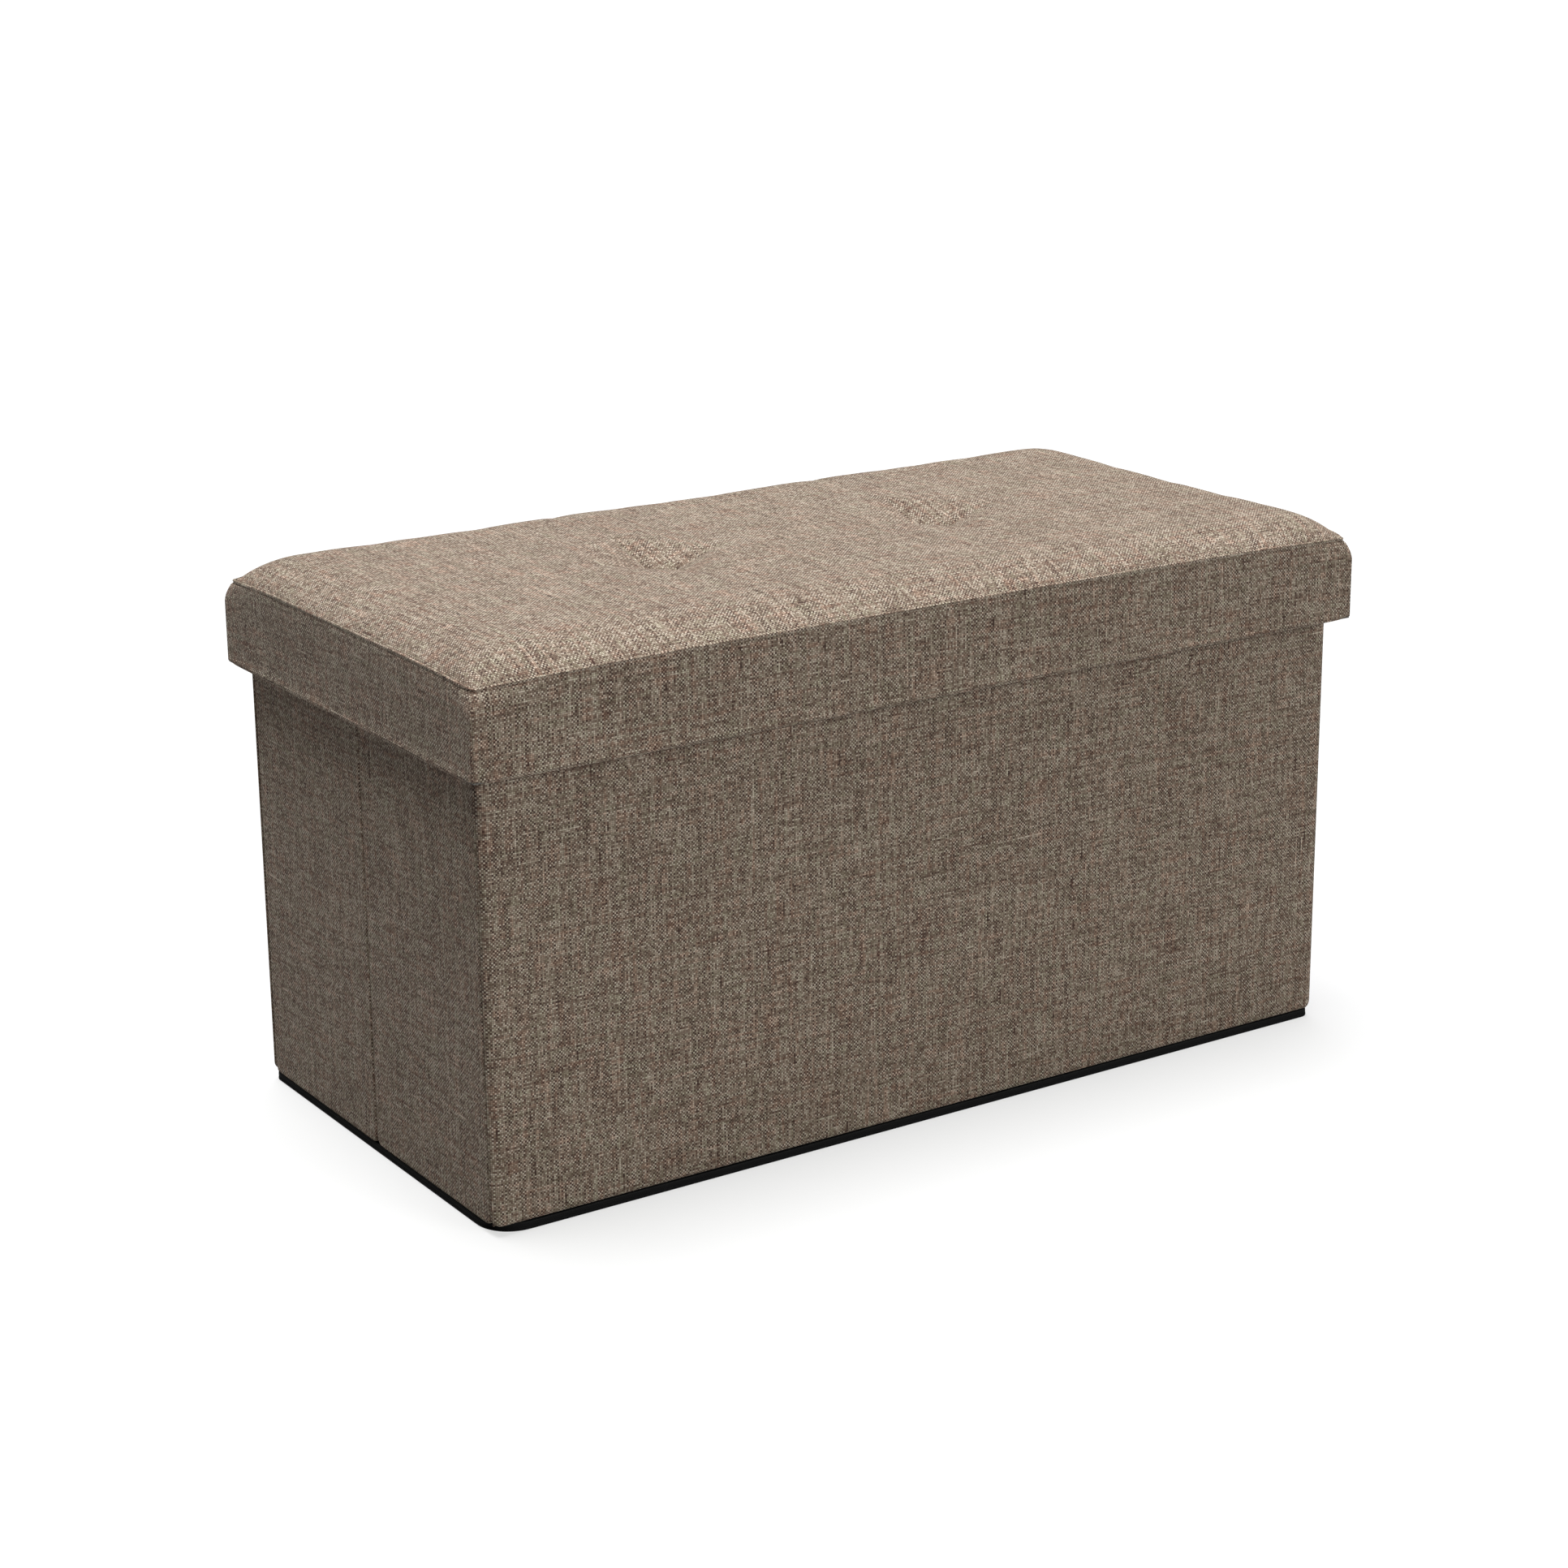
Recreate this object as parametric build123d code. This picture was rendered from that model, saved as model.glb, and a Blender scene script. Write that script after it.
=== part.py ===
from build123d import *
import os

# A storage bench that folds flat. Fabric-covered walls stand round a loose base insert,
# and a padded lid with a skirt lifts straight off. All sizes are in millimetres.
# The origin is the middle of the footprint, on the floor: X runs along the bench,
# -Y is the front and +Z is up.

# Lid, over everything
lid_length = 760.0
lid_depth = 382.0
skirt_drop = 29.0            # lower edge of the skirt, below the underside of the lid board
shoulder_height = 19.0       # where the band starts to lean in, above that underside
seam_height = 33.5           # seam between band and top cover, above that underside
seam_inset = 5.5             # seam, in from the skirt's outer face
crown_rise = 20.0            # top of the pad above the seam
crown_reach = 48.0           # width of the rounded edge of the pad

# Lid, layer by layer
band_cloth = 1.0
top_cloth = 1.2
skirt_board = 3.0
lid_board = 9.0
lid_lining = 0.8
board_edge_play = 0.2        # round the lid board, inside the skirt stiffeners
foam_play = 0.1              # between the foam and the cloth of the band
flange_width = 15.0          # cloth turned under the lid board
lining_margin = 4.0          # lining, in from the inside of the skirt

# Staples that hold the turned-under cloth
staple_crown = 10.0
staple_width = 1.2
staple_wire = 0.6
staple_leg = 6.0             # below the cloth that it holds
staple_pitch = 62.0
staple_end_inset = 50.0      # first staple, in from the end of the flange

# Tufts in the pad
tuft_spacing = 244.0
tuft_dip = 10.0
tuft_dimple_radius = 26.0
tuft_floor_radius = 3.0
tuft_thread_radius = 1.0
tuft_knot_radius = 2.2
tuft_knot_height = 0.35
anchor_radius = 9.0
anchor_thickness = 1.6
anchor_pocket_play = 0.5     # round the anchor, in its pocket under the lid board
knot_play = 0.05             # below the knot, inside that pocket

# Walls
wall_height = 345.8
wall_board = 4.0
wall_cloth = 1.2
wall_lining = 0.8
wall_corner_radius = 7.0
end_play = 6.0               # between the skirt and an end wall
side_play = 9.0              # between the skirt and a long wall
seat_play = 0.3              # between the lid's lining and the tops of the walls

# Fold lines of the walls
fold_gap = 0.6               # slit between two panels that fold on each other
folded_play = 1.5            # between the raised insert and the folded ends
middle_fold_outset = 0.4     # middle fold line, out from the outer face of the end wall
hinge_cloth_lap = 12.0       # hinge cloth over each panel

# Base
base_cloth = 0.8
base_inset = 1.0             # base, in from the outer faces of the walls
base_corner_radius = 20.0
base_band_thickness = 1.5
wall_floor_play = 0.3        # between the base band and the walls

# Loose insert that lies on the base and holds the walls square
insert_board = 3.2
insert_cloth = 0.5
insert_play = 1.0            # round the insert, inside the walls
insert_floor_play = 0.2
insert_corner_radius = 16.0
tab_length = 46.0
tab_width = 24.0
tab_thickness = 1.0
tab_edge_inset = 10.0
tab_play = 0.3               # between the tab and the back wall when the insert stands up

# Sizes that follow
skirt_thickness = 2 * band_cloth + skirt_board
wall_thickness = wall_cloth + wall_board + wall_lining
body_length = lid_length - 2 * (skirt_thickness + end_play)
body_depth = lid_depth - 2 * (skirt_thickness + side_play)
base_length = body_length - 2 * base_inset
base_depth = body_depth - 2 * base_inset
insert_thickness = insert_board + 2 * insert_cloth
insert_back_play = tab_thickness + tab_play

# The base band hides the edge of the insert and its tab, and the walls pass over both.
base_band_height = insert_floor_play + insert_thickness + tab_thickness

# The corner fold lines stand this far inside both inner faces, so that the folded ends leave
# room for the raised insert in front of the back wall.
corner_fold_inset = (insert_back_play + insert_thickness + folded_play) / 2

# Pocket for a tuft's anchor and knot in the underside of the lid board
anchor_recess = anchor_thickness + tuft_knot_height + knot_play

# Heights above the floor, from the base up
wall_bottom = base_cloth + base_band_height + wall_floor_play
wall_top = wall_bottom + wall_height
lining_bottom = wall_top + seat_play
lining_top = lining_bottom + lid_lining
flange_bottom = lining_top + staple_wire
board_bottom = flange_bottom + band_cloth
board_top = board_bottom + lid_board
skirt_bottom = board_bottom - skirt_drop
shoulder = board_bottom + shoulder_height
seam = board_bottom + seam_height
crest = seam + crown_rise
insert_bottom = base_cloth + insert_floor_play
insert_top = insert_bottom + insert_thickness

# The band leans in from the shoulder to the seam along an arc that starts upright.
lean_height = seam - shoulder
lean_radius = (lean_height**2 + seam_inset**2) / (2 * seam_inset)


def save(node, shape):
    """Write one sub-part."""
    export_step(shape, f"parts/{node}.step")


def block(low, high):
    """A box from its lowest to its highest corner."""
    size = [b - a for a, b in zip(low, high)]
    middle = [(a + b) / 2 for a, b in zip(low, high)]
    return Pos(*middle) * Box(*size)


# ---------------------------------------------------------------- lid, cross-sections

def lean_point(half, cloth):
    """Upper end of the leaning part of the band, on a face that lies cloth below the outer one."""
    rise = lean_height * (1 - cloth / lean_radius)
    run = (lean_radius - seam_inset) * (1 - cloth / lean_radius)
    return (half - lean_radius + run, shoulder + rise)


def lean_arc(half, cloth):
    """The leaning arc itself, from the shoulder up."""
    radius = lean_radius - cloth
    start = (half - cloth, shoulder)
    turn = Vector(radius, 0).get_angle(Vector(lean_radius - seam_inset, lean_height))
    centre = (half - lean_radius, shoulder)
    return start, CenterArc(centre, radius, 0, turn)


def pad_outline(half, side_cloth, cover, foot):
    """Half of the pad's cross-section, mirrored into a whole one. foot is a list of points that
    lead from the middle of the underside to the shoulder."""
    start, arc = lean_arc(half, side_cloth)
    centre = half - seam_inset - crown_reach
    edge = (centre + crown_reach - cover, seam)
    top = (0, crest - cover)
    crown = EllipticalCenterArc(
        (centre, seam), crown_reach - cover, crown_rise - cover, 0, arc_size=90
    )
    lines = Polyline(*foot, start) + arc
    if cover > 0:
        lines += Line(lean_point(half, side_cloth), edge)
    lines += crown
    lines += Polyline((centre, crest - cover), top, foot[0])
    right = make_face(lines)
    return right + mirror(right, about=Plane.YZ)


def crossed(section_of):
    """A solid whose sections along X and along Y are the same shape at the two widths."""
    along_x = extrude(Plane.YZ * section_of(lid_depth / 2), amount=lid_length / 2, both=True)
    along_y = extrude(Plane.XZ * section_of(lid_length / 2), amount=lid_depth / 2, both=True)
    return along_x & along_y


def outer_section(half):
    return pad_outline(half, 0, 0, [(0, board_top), (half, board_top)])


def foam_section(half):
    board_half = half - band_cloth - skirt_board - board_edge_play
    foot = [(0, board_top), (board_half, board_top), (board_half, shoulder)]
    return pad_outline(half, band_cloth + foam_play, top_cloth, foot)


def band_section(half):
    """Cloth of one side: outside of the skirt, round its lower edge and under the lid board."""
    outer_start, outer_arc = lean_arc(half, 0)
    inner_start, inner_arc = lean_arc(half, band_cloth)
    inside = half - skirt_thickness
    lines = Line((half, skirt_bottom), outer_start) + outer_arc
    lines += Polyline(
        (half - seam_inset, seam),
        (half - seam_inset - top_cloth, seam),
        lean_point(half, band_cloth),
    )
    lines += inner_arc
    lines += Polyline(
        inner_start,
        (half - band_cloth, skirt_bottom + band_cloth),
        (inside + band_cloth, skirt_bottom + band_cloth),
        (inside + band_cloth, board_bottom),
        (inside - flange_width, board_bottom),
        (inside - flange_width, flange_bottom),
        (inside, flange_bottom),
        (inside, skirt_bottom),
        (half, skirt_bottom),
    )
    return make_face(lines)


def skirt_board_section(half):
    low = (half - band_cloth - skirt_board, skirt_bottom + band_cloth)
    return Pos(*low) * Rectangle(skirt_board, shoulder - low[1], align=(Align.MIN, Align.MIN))


# ---------------------------------------------------------------- lid, solids

def mitre_wedge(side):
    """The share of the lid that belongs to one side, cut at 45 degrees through the corners."""
    x = lid_length / 2
    y = lid_depth / 2
    spare = 10.0
    if side == "back":
        points = [(-x - spare, y + spare), (x + spare, y + spare), (x - y, 0), (y - x, 0)]
    else:
        points = [(x + spare, -y - spare), (x + spare, y + spare), (x - y, 0)]
    return extrude(make_face(Polyline(*points, close=True)), amount=crest)


def lid_sides(section_of):
    """One cross-section run round the lid, as four mitred pieces."""
    back = extrude(Plane.YZ * section_of(lid_depth / 2), amount=lid_length / 2, both=True)
    right = extrude(Plane.XZ * section_of(lid_length / 2), amount=lid_depth / 2, both=True)
    back &= mitre_wedge("back")
    right &= mitre_wedge("right")
    half_turn = Rot(0, 0, 180)
    return {"back": back, "right": right, "front": half_turn * back, "left": half_turn * right}


def tuft_places():
    return [Pos(-tuft_spacing / 2, 0, 0), Pos(tuft_spacing / 2, 0, 0)]


def dimples(drop):
    """The two dips in the pad, drop below those of its outer surface."""
    floor = crest - tuft_dip - drop
    cone = Pos(0, 0, floor) * Cone(
        tuft_floor_radius,
        tuft_dimple_radius,
        tuft_dip,
        align=(Align.CENTER, Align.CENTER, Align.MIN),
    )
    return [place * cone for place in tuft_places()]


def upright(radius, low, high):
    """A standing cylinder from one height to another."""
    place = Pos(0, 0, low)
    return place * Cylinder(radius, high - low, align=(Align.CENTER, Align.CENTER, Align.MIN))


def tuft_threads():
    """Thread from the cloth at the bottom of each dip to a knot under its anchor."""
    anchor_bottom = board_bottom + anchor_recess - anchor_thickness
    thread = upright(tuft_thread_radius, anchor_bottom, crest - tuft_dip - top_cloth)
    knot = upright(tuft_knot_radius, anchor_bottom - tuft_knot_height, anchor_bottom)
    return [place * (thread + knot) for place in tuft_places()]


def tuft_anchors():
    """Discs in the underside of the lid board that the threads pull on."""
    top = board_bottom + anchor_recess
    disc = upright(anchor_radius, top - anchor_thickness, top)
    disc -= upright(tuft_thread_radius, top - anchor_thickness, top)
    return [place * disc for place in tuft_places()]


def staple_row(length):
    """Places of the staples along one side, from its middle."""
    run = length - 2 * (skirt_thickness + staple_end_inset)
    count = int(run // staple_pitch) + 1
    return [(i - (count - 1) / 2) * staple_pitch for i in range(count)]


def staples():
    """Staples through the turned-under cloth into the lid board, all round."""
    leg_top = board_bottom + staple_leg - staple_wire - band_cloth
    crown = block(
        (-staple_crown / 2, -staple_width / 2, flange_bottom - staple_wire),
        (staple_crown / 2, staple_width / 2, flange_bottom),
    )
    leg = block(
        (-staple_wire / 2, -staple_width / 2, flange_bottom - staple_wire),
        (staple_wire / 2, staple_width / 2, leg_top),
    )
    reach = (staple_crown - staple_wire) / 2
    staple = crown + Pos(-reach, 0, 0) * leg + Pos(reach, 0, 0) * leg
    to_row = skirt_thickness + flange_width / 2
    rows = []
    for sign in (-1, 1):
        y = sign * (lid_depth / 2 - to_row)
        rows += [Pos(x, y, 0) * staple for x in staple_row(lid_length)]
        x = sign * (lid_length / 2 - to_row)
        rows += [Pos(x, y, 0) * Rot(0, 0, 90) * staple for y in staple_row(lid_depth)]
    return rows


def build_lid():
    threads = tuft_threads()
    anchors = tuft_anchors()
    fixings = staples()

    foam = crossed(foam_section)
    for dimple in dimples(top_cloth):
        foam -= dimple

    outer = crossed(outer_section)
    for dimple in dimples(0):
        outer -= dimple
    above_seam = block((-lid_length, -lid_depth, seam), (lid_length, lid_depth, crest))
    top_cover = (outer & above_seam) - foam

    inside_x = lid_length / 2 - skirt_thickness
    inside_y = lid_depth / 2 - skirt_thickness
    board_x = inside_x + band_cloth - board_edge_play
    board_y = inside_y + band_cloth - board_edge_play
    board = block((-board_x, -board_y, board_bottom), (board_x, board_y, board_top))
    for place in tuft_places():
        pocket = anchor_radius + anchor_pocket_play
        board -= place * upright(pocket, board_bottom, board_bottom + anchor_recess)
        hole = place * upright(tuft_thread_radius, board_bottom, crest)
        board -= hole
        foam -= hole

    bands = lid_sides(band_section)
    for fixing in fixings:
        board -= fixing
        bands = {side: band - fixing for side, band in bands.items()}

    lining = block(
        (lining_margin - inside_x, lining_margin - inside_y, lining_bottom),
        (inside_x - lining_margin, inside_y - lining_margin, lining_top),
    )

    save("lid_board", board)
    save("lid_foam", foam)
    save("lid_top_cover", top_cover)
    save("lid_lining", lining)
    save("lid_tuft_threads", Compound(threads))
    save("lid_tuft_anchors", Compound(anchors))
    save("lid_staples", Compound(fixings))
    for side, band in bands.items():
        save(f"lid_band_{side}", band)
    for side, stiffener in lid_sides(skirt_board_section).items():
        save(f"lid_skirt_board_{side}", stiffener)


# ---------------------------------------------------------------- walls

def leaf(length, inset, near, far):
    """A sheet with rounded corners, standing on Z = 0, from depth near to depth far behind
    an outer face that looks along -Y."""
    outline = RectangleRounded(
        length - 2 * inset, wall_height - 2 * inset, wall_corner_radius - inset
    )
    sheet = extrude(outline, amount=far - near)
    return Pos(0, near, wall_height / 2) * Rot(-90, 0, 0) * sheet


def wall_panel(length):
    """Board, outer cover with its edges turned in, and lining of one panel."""
    lining_depth = wall_cloth + wall_board
    hollow = leaf(length, wall_cloth, wall_cloth, wall_thickness)
    return {
        "board": leaf(length, wall_cloth, wall_cloth, lining_depth),
        "cover": leaf(length, 0, 0, wall_thickness) - hollow,
        "lining": leaf(length, wall_cloth, lining_depth, wall_thickness),
    }


def hinge_strip(low_y, high_y):
    """Hinge cloth let into the outer faces of the left end, between the rounded corners."""
    outside = -body_length / 2
    return block(
        (outside, low_y, wall_bottom + wall_corner_radius),
        (outside + wall_cloth, high_y, wall_top - wall_corner_radius),
    )


def build_walls():
    inner_y = body_depth / 2 - wall_thickness
    half_panel = inner_y - 1.5 * fold_gap
    half_panel_middle = (inner_y - fold_gap / 2) / 2
    end_x = body_length / 2
    to_back = Pos(0, body_depth / 2, wall_bottom) * Rot(0, 0, 180)
    to_front = Pos(0, -body_depth / 2, wall_bottom)
    left_turn = Rot(0, 0, -90)
    right_turn = Rot(0, 0, 90)
    panels = {
        "back_wall": (body_length, to_back),
        "front_wall": (body_length, to_front),
        "left_rear": (half_panel, Pos(-end_x, half_panel_middle, wall_bottom) * left_turn),
        "left_front": (half_panel, Pos(-end_x, -half_panel_middle, wall_bottom) * left_turn),
        "right_rear": (half_panel, Pos(end_x, half_panel_middle, wall_bottom) * right_turn),
        "right_front": (half_panel, Pos(end_x, -half_panel_middle, wall_bottom) * right_turn),
    }

    lap_edge = inner_y - fold_gap - hinge_cloth_lap
    cloth_back = body_depth / 2 - wall_cloth
    middle_lap = fold_gap / 2 + hinge_cloth_lap
    rear = hinge_strip(lap_edge, cloth_back)
    middle = hinge_strip(-middle_lap, middle_lap)
    half_turn = Rot(0, 0, 180)
    over_side = hinge_strip(lap_edge, inner_y - fold_gap)
    over_front = hinge_strip(inner_y - fold_gap, cloth_back)
    hinges = {
        "rear_left_hinge_cloth": rear,
        "front_left_hinge_cloth": mirror(rear, about=Plane.XZ),
        "rear_right_hinge_cloth": mirror(rear, about=Plane.YZ),
        "middle_left_hinge_cloth": middle,
        "middle_right_hinge_cloth": mirror(middle, about=Plane.YZ),
        "front_right_hinge_cloth_side": half_turn * over_side,
        "front_right_hinge_cloth_front": half_turn * over_front,
    }

    for name, (length, place) in panels.items():
        pieces = {part: place * solid for part, solid in wall_panel(length).items()}
        for strip in hinges.values():
            pieces["cover"] -= strip
        for part, solid in pieces.items():
            save(f"{name}_{part}", solid)
    for name, strip in hinges.items():
        save(name, strip)


# ---------------------------------------------------------------- base and insert

def build_base():
    outline = RectangleRounded(base_length, base_depth, base_corner_radius)
    inner_outline = RectangleRounded(
        base_length - 2 * base_band_thickness,
        base_depth - 2 * base_band_thickness,
        base_corner_radius - base_band_thickness,
    )
    save("base_cloth", extrude(outline, amount=base_cloth))
    band = extrude(outline - inner_outline, amount=base_band_height)
    save("base_band", Pos(0, 0, base_cloth) * band)


def build_insert():
    inside_y = body_depth / 2 - wall_thickness
    length = body_length - 2 * (wall_thickness + insert_play)
    front = -inside_y + insert_play
    back = inside_y - insert_back_play
    place = Pos(0, (front + back) / 2, insert_bottom)

    def slab(inset):
        outline = RectangleRounded(
            length - 2 * inset, back - front - 2 * inset, insert_corner_radius - inset
        )
        sheet = extrude(outline, amount=insert_thickness - 2 * inset)
        return place * Pos(0, 0, inset) * sheet

    board = slab(insert_cloth)
    tab_front = front + tab_edge_inset
    tab = block(
        (-tab_width / 2, tab_front, insert_top),
        (tab_width / 2, tab_front + tab_length, insert_top + tab_thickness),
    )
    save("insert_board", board)
    save("insert_cover", slab(0) - board)
    save("insert_pull_tab", tab)


def fold_lines():
    """Where the upright fold lines and the insert's rear edge lie, as X and Y or Y and Z."""
    corner_x = body_length / 2 - wall_thickness - corner_fold_inset
    corner_y = body_depth / 2 - wall_thickness - corner_fold_inset
    insert_back = body_depth / 2 - wall_thickness - insert_back_play
    return {
        "corner fold": (corner_x, corner_y),
        "middle fold": (body_length / 2 + middle_fold_outset, 0),
        "insert's rear edge": (insert_back, insert_top),
    }


os.makedirs("parts", exist_ok=True)
for line, place in fold_lines().items():
    print(line, place)
build_lid()
build_walls()
build_base()
build_insert()
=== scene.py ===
import math

import bmesh
import bpy
import numpy as np
from mathutils import Matrix, Vector


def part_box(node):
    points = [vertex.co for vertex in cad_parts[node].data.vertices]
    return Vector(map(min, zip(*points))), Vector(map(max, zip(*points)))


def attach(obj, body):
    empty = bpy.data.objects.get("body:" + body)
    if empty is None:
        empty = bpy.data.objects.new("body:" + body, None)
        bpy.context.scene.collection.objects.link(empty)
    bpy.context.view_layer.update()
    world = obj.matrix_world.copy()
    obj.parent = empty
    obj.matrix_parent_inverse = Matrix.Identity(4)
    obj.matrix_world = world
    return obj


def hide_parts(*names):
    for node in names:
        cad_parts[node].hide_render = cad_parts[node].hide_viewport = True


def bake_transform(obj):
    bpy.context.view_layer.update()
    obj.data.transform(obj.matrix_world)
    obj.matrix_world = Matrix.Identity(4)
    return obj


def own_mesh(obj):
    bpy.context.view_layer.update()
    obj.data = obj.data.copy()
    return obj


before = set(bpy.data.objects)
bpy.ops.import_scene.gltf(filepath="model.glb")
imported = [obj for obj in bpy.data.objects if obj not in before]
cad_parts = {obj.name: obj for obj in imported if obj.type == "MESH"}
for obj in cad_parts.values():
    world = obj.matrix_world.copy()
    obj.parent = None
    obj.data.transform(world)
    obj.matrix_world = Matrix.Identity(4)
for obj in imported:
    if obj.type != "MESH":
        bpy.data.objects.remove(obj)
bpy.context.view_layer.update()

# ---------------------------------------------------------------------------
# Camera: in front of the left end and a little above the lid, with a long
# lens, so that the top, the long front and one folding end all show.
mm = 0.001
eye = Vector((-1317.9, -1988.4, 947.2)) * mm
round_it, above, tilt = (math.radians(a) for a in (-33.21, 16.60, -0.56))
backward = Vector((math.sin(round_it) * math.cos(above), -math.cos(round_it) * math.cos(above),
                   math.sin(above)))
right = (-backward).cross(Vector((0, 0, 1))).normalized()
up = right.cross(-backward)
right, up = math.cos(tilt) * right + math.sin(tilt) * up, math.cos(tilt) * up - math.sin(tilt) * right
lens = bpy.data.cameras.new("Camera")
lens.sensor_width, lens.lens = 36, 75.22
lens.shift_x, lens.shift_y = 0.0008, -0.0184
lens.clip_end = 100
camera = bpy.data.objects.new("Camera", lens)
camera.matrix_world = Matrix((right, up, backward)).transposed().to_4x4()
camera.location = eye
bpy.context.collection.objects.link(camera)
bpy.context.scene.camera = camera
bpy.context.scene.view_settings.view_transform = "Standard"
bpy.context.scene.cycles.denoising_prefilter = "NONE"


# ---------------------------------------------------------------------------
# Studio: a pale matt floor, three soft suns, one overhead, one a little to the
# left and one low at the front right, and a weak even light from all round.
class Reading:
    """One output of a finish's nodes. Sums, products and comparisons of it add the Math nodes."""

    def __init__(self, finish, socket):
        self.finish, self.socket = finish, socket

    def math(self, operation, *others):
        return self.finish.node("ShaderNodeMath", {"operation": operation}, dict(enumerate((self, *others))))

    def __add__(self, other):
        return self.math("ADD", other)

    def __sub__(self, other):
        return self.math("SUBTRACT", other)

    def __rsub__(self, other):
        return self.math("MULTIPLY", -1.0) + other

    def __mul__(self, other):
        return self.math("MULTIPLY", other)

    def __gt__(self, other):
        return self.math("GREATER_THAN", other)

    def __pow__(self, other):
        return self.math("POWER", other)

    def between(self, low, high):
        """0 below low, 1 above high, and smooth in between."""
        return self.finish.node("ShaderNodeMapRange", {"interpolation_type": "SMOOTHSTEP"},
                                {"Value": self, "From Min": low, "From Max": high})

    __radd__, __rmul__ = __add__, __mul__


class Finish:
    """A material of this bench. Every node comes from node(); what varies is painted on the shader."""

    def __init__(self, name, constants):
        self.material = bpy.data.materials.new(name)
        self.material.use_nodes = True
        self.tree = self.material.node_tree
        self.tree.nodes.clear()
        self.shader = self.tree.nodes.new("ShaderNodeBsdfPrincipled")
        output = self.tree.nodes.new("ShaderNodeOutputMaterial")
        self.tree.links.new(self.shader.outputs[0], output.inputs["Surface"])
        for name, value in constants.items():
            self.shader.inputs[name].default_value = value

    def node(self, kind, settings, sockets, output=0):
        """A node of that kind: its settings first, then its sockets' values or links, by name or number."""
        made = self.tree.nodes.new(kind)
        for name, value in settings.items():
            if name == "stops":
                marks = made.color_ramp.elements
                for k, (at, colour) in enumerate(value):
                    mark = marks[k] if k < 2 else marks.new(at)
                    mark.position, mark.color = at, (*colour, 1)
            else:
                setattr(made, name, value)
        for name, value in sockets.items():
            if isinstance(value, Reading):
                self.tree.links.new(value.socket, made.inputs[name])
            elif isinstance(value, tuple) and len(value) == 3 and made.inputs[name].type == "RGBA":
                made.inputs[name].default_value = (*value, 1)
            else:
                made.inputs[name].default_value = value
        return Reading(self, made.outputs[output])

    def mix(self, amount, first, second, way="MIX"):
        """A colour between two colours, or their product, and so on."""
        return self.node("ShaderNodeMix", {"data_type": "RGBA", "blend_type": way, "clamp_factor": True},
                         {0: amount, 6: first, 7: second}, 2)

    def point(self, x, y, z=0.0):
        return self.node("ShaderNodeCombineXYZ", {}, {"X": x, "Y": y, "Z": z})

    def spread(self, vector):
        """The three numbers of a vector."""
        return [self.node("ShaderNodeSeparateXYZ", {}, {0: vector}, k) for k in range(3)]

    def noise(self, vector, scale, detail=2.0, rough=0.5):
        return self.node("ShaderNodeTexNoise", {}, {"Vector": vector, "Scale": scale, "Detail": detail,
                                                    "Roughness": rough})

    def cloth(self):
        """Metres along and across the cloth, from the piece's own map."""
        return self.spread(self.node("ShaderNodeUVMap", {"uv_map": "Weave"}, {}))[:2]

    def solid(self):
        """The place in the piece itself, in metres."""
        return self.node("ShaderNodeTexCoord", {}, {}, 3)

    def paint(self, colour=None, rough=None, height=None, depth=0.0001):
        """Colour, roughness and a raised pattern, its height in shares of depth."""
        for name, value in (("Base Color", colour), ("Roughness", rough)):
            if value is not None:
                self.tree.links.new(value.socket, self.shader.inputs[name])
        if height is not None:
            bump = self.node("ShaderNodeBump", {}, {"Strength": 1.0, "Distance": depth, "Height": height})
            self.tree.links.new(bump.socket, self.shader.inputs["Normal"])
        return self.material


# the floor looks paler than it lights, so that the bench casts only a faint shadow on it
pale = Finish("pale floor", {"Roughness": 0.95, "Specular IOR Level": 0.1, "Emission Strength": 1.0})
seen = pale.node("ShaderNodeLightPath", {}, {})
tone = pale.mix(pale.noise(pale.solid(), 1.5, 3.0), (0.30, 0.30, 0.30), (0.31, 0.31, 0.31))
pale.paint(colour=pale.mix(seen, (0.29, 0.29, 0.29), tone))
glow = pale.mix(seen, (0.0, 0.0, 0.0), (0.62, 0.62, 0.62))
pale.tree.links.new(glow.socket, pale.shader.inputs["Emission Color"])
floor_radius, floor_sides, floor_drop = 14.0, 96, 0.5 * mm
ring = [(floor_radius * math.cos(a), floor_radius * math.sin(a), -floor_drop)
        for a in np.linspace(0, 2 * math.pi, floor_sides, endpoint=False)]
floor_mesh = bpy.data.meshes.new("Floor")
floor_mesh.from_pydata(ring, [], [range(floor_sides)])
floor_mesh.materials.append(pale.material)
floor = bpy.data.objects.new("Floor", floor_mesh)
bpy.context.collection.objects.link(floor)

for name, strength, wide, towards, tint in (
        ("Overhead", 3.72, 36, (0.0, 0.17, 1), (1.0, 1.0, 1.03)),
        ("Left", 1.15, 36, (-0.25, 0.0, 1), (1.0, 1.015, 0.93)),
        ("Front", 1.40, 24, (0.45, -1, 0.42), (1.0, 1.01, 0.985))):
    light = bpy.data.lights.new(name, "SUN")
    light.energy, light.angle, light.color = strength, math.radians(wide), tint
    lamp = bpy.data.objects.new(name, light)
    lamp.rotation_euler = Vector(towards).to_track_quat("Z", "Y").to_euler()
    bpy.context.collection.objects.link(lamp)

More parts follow.
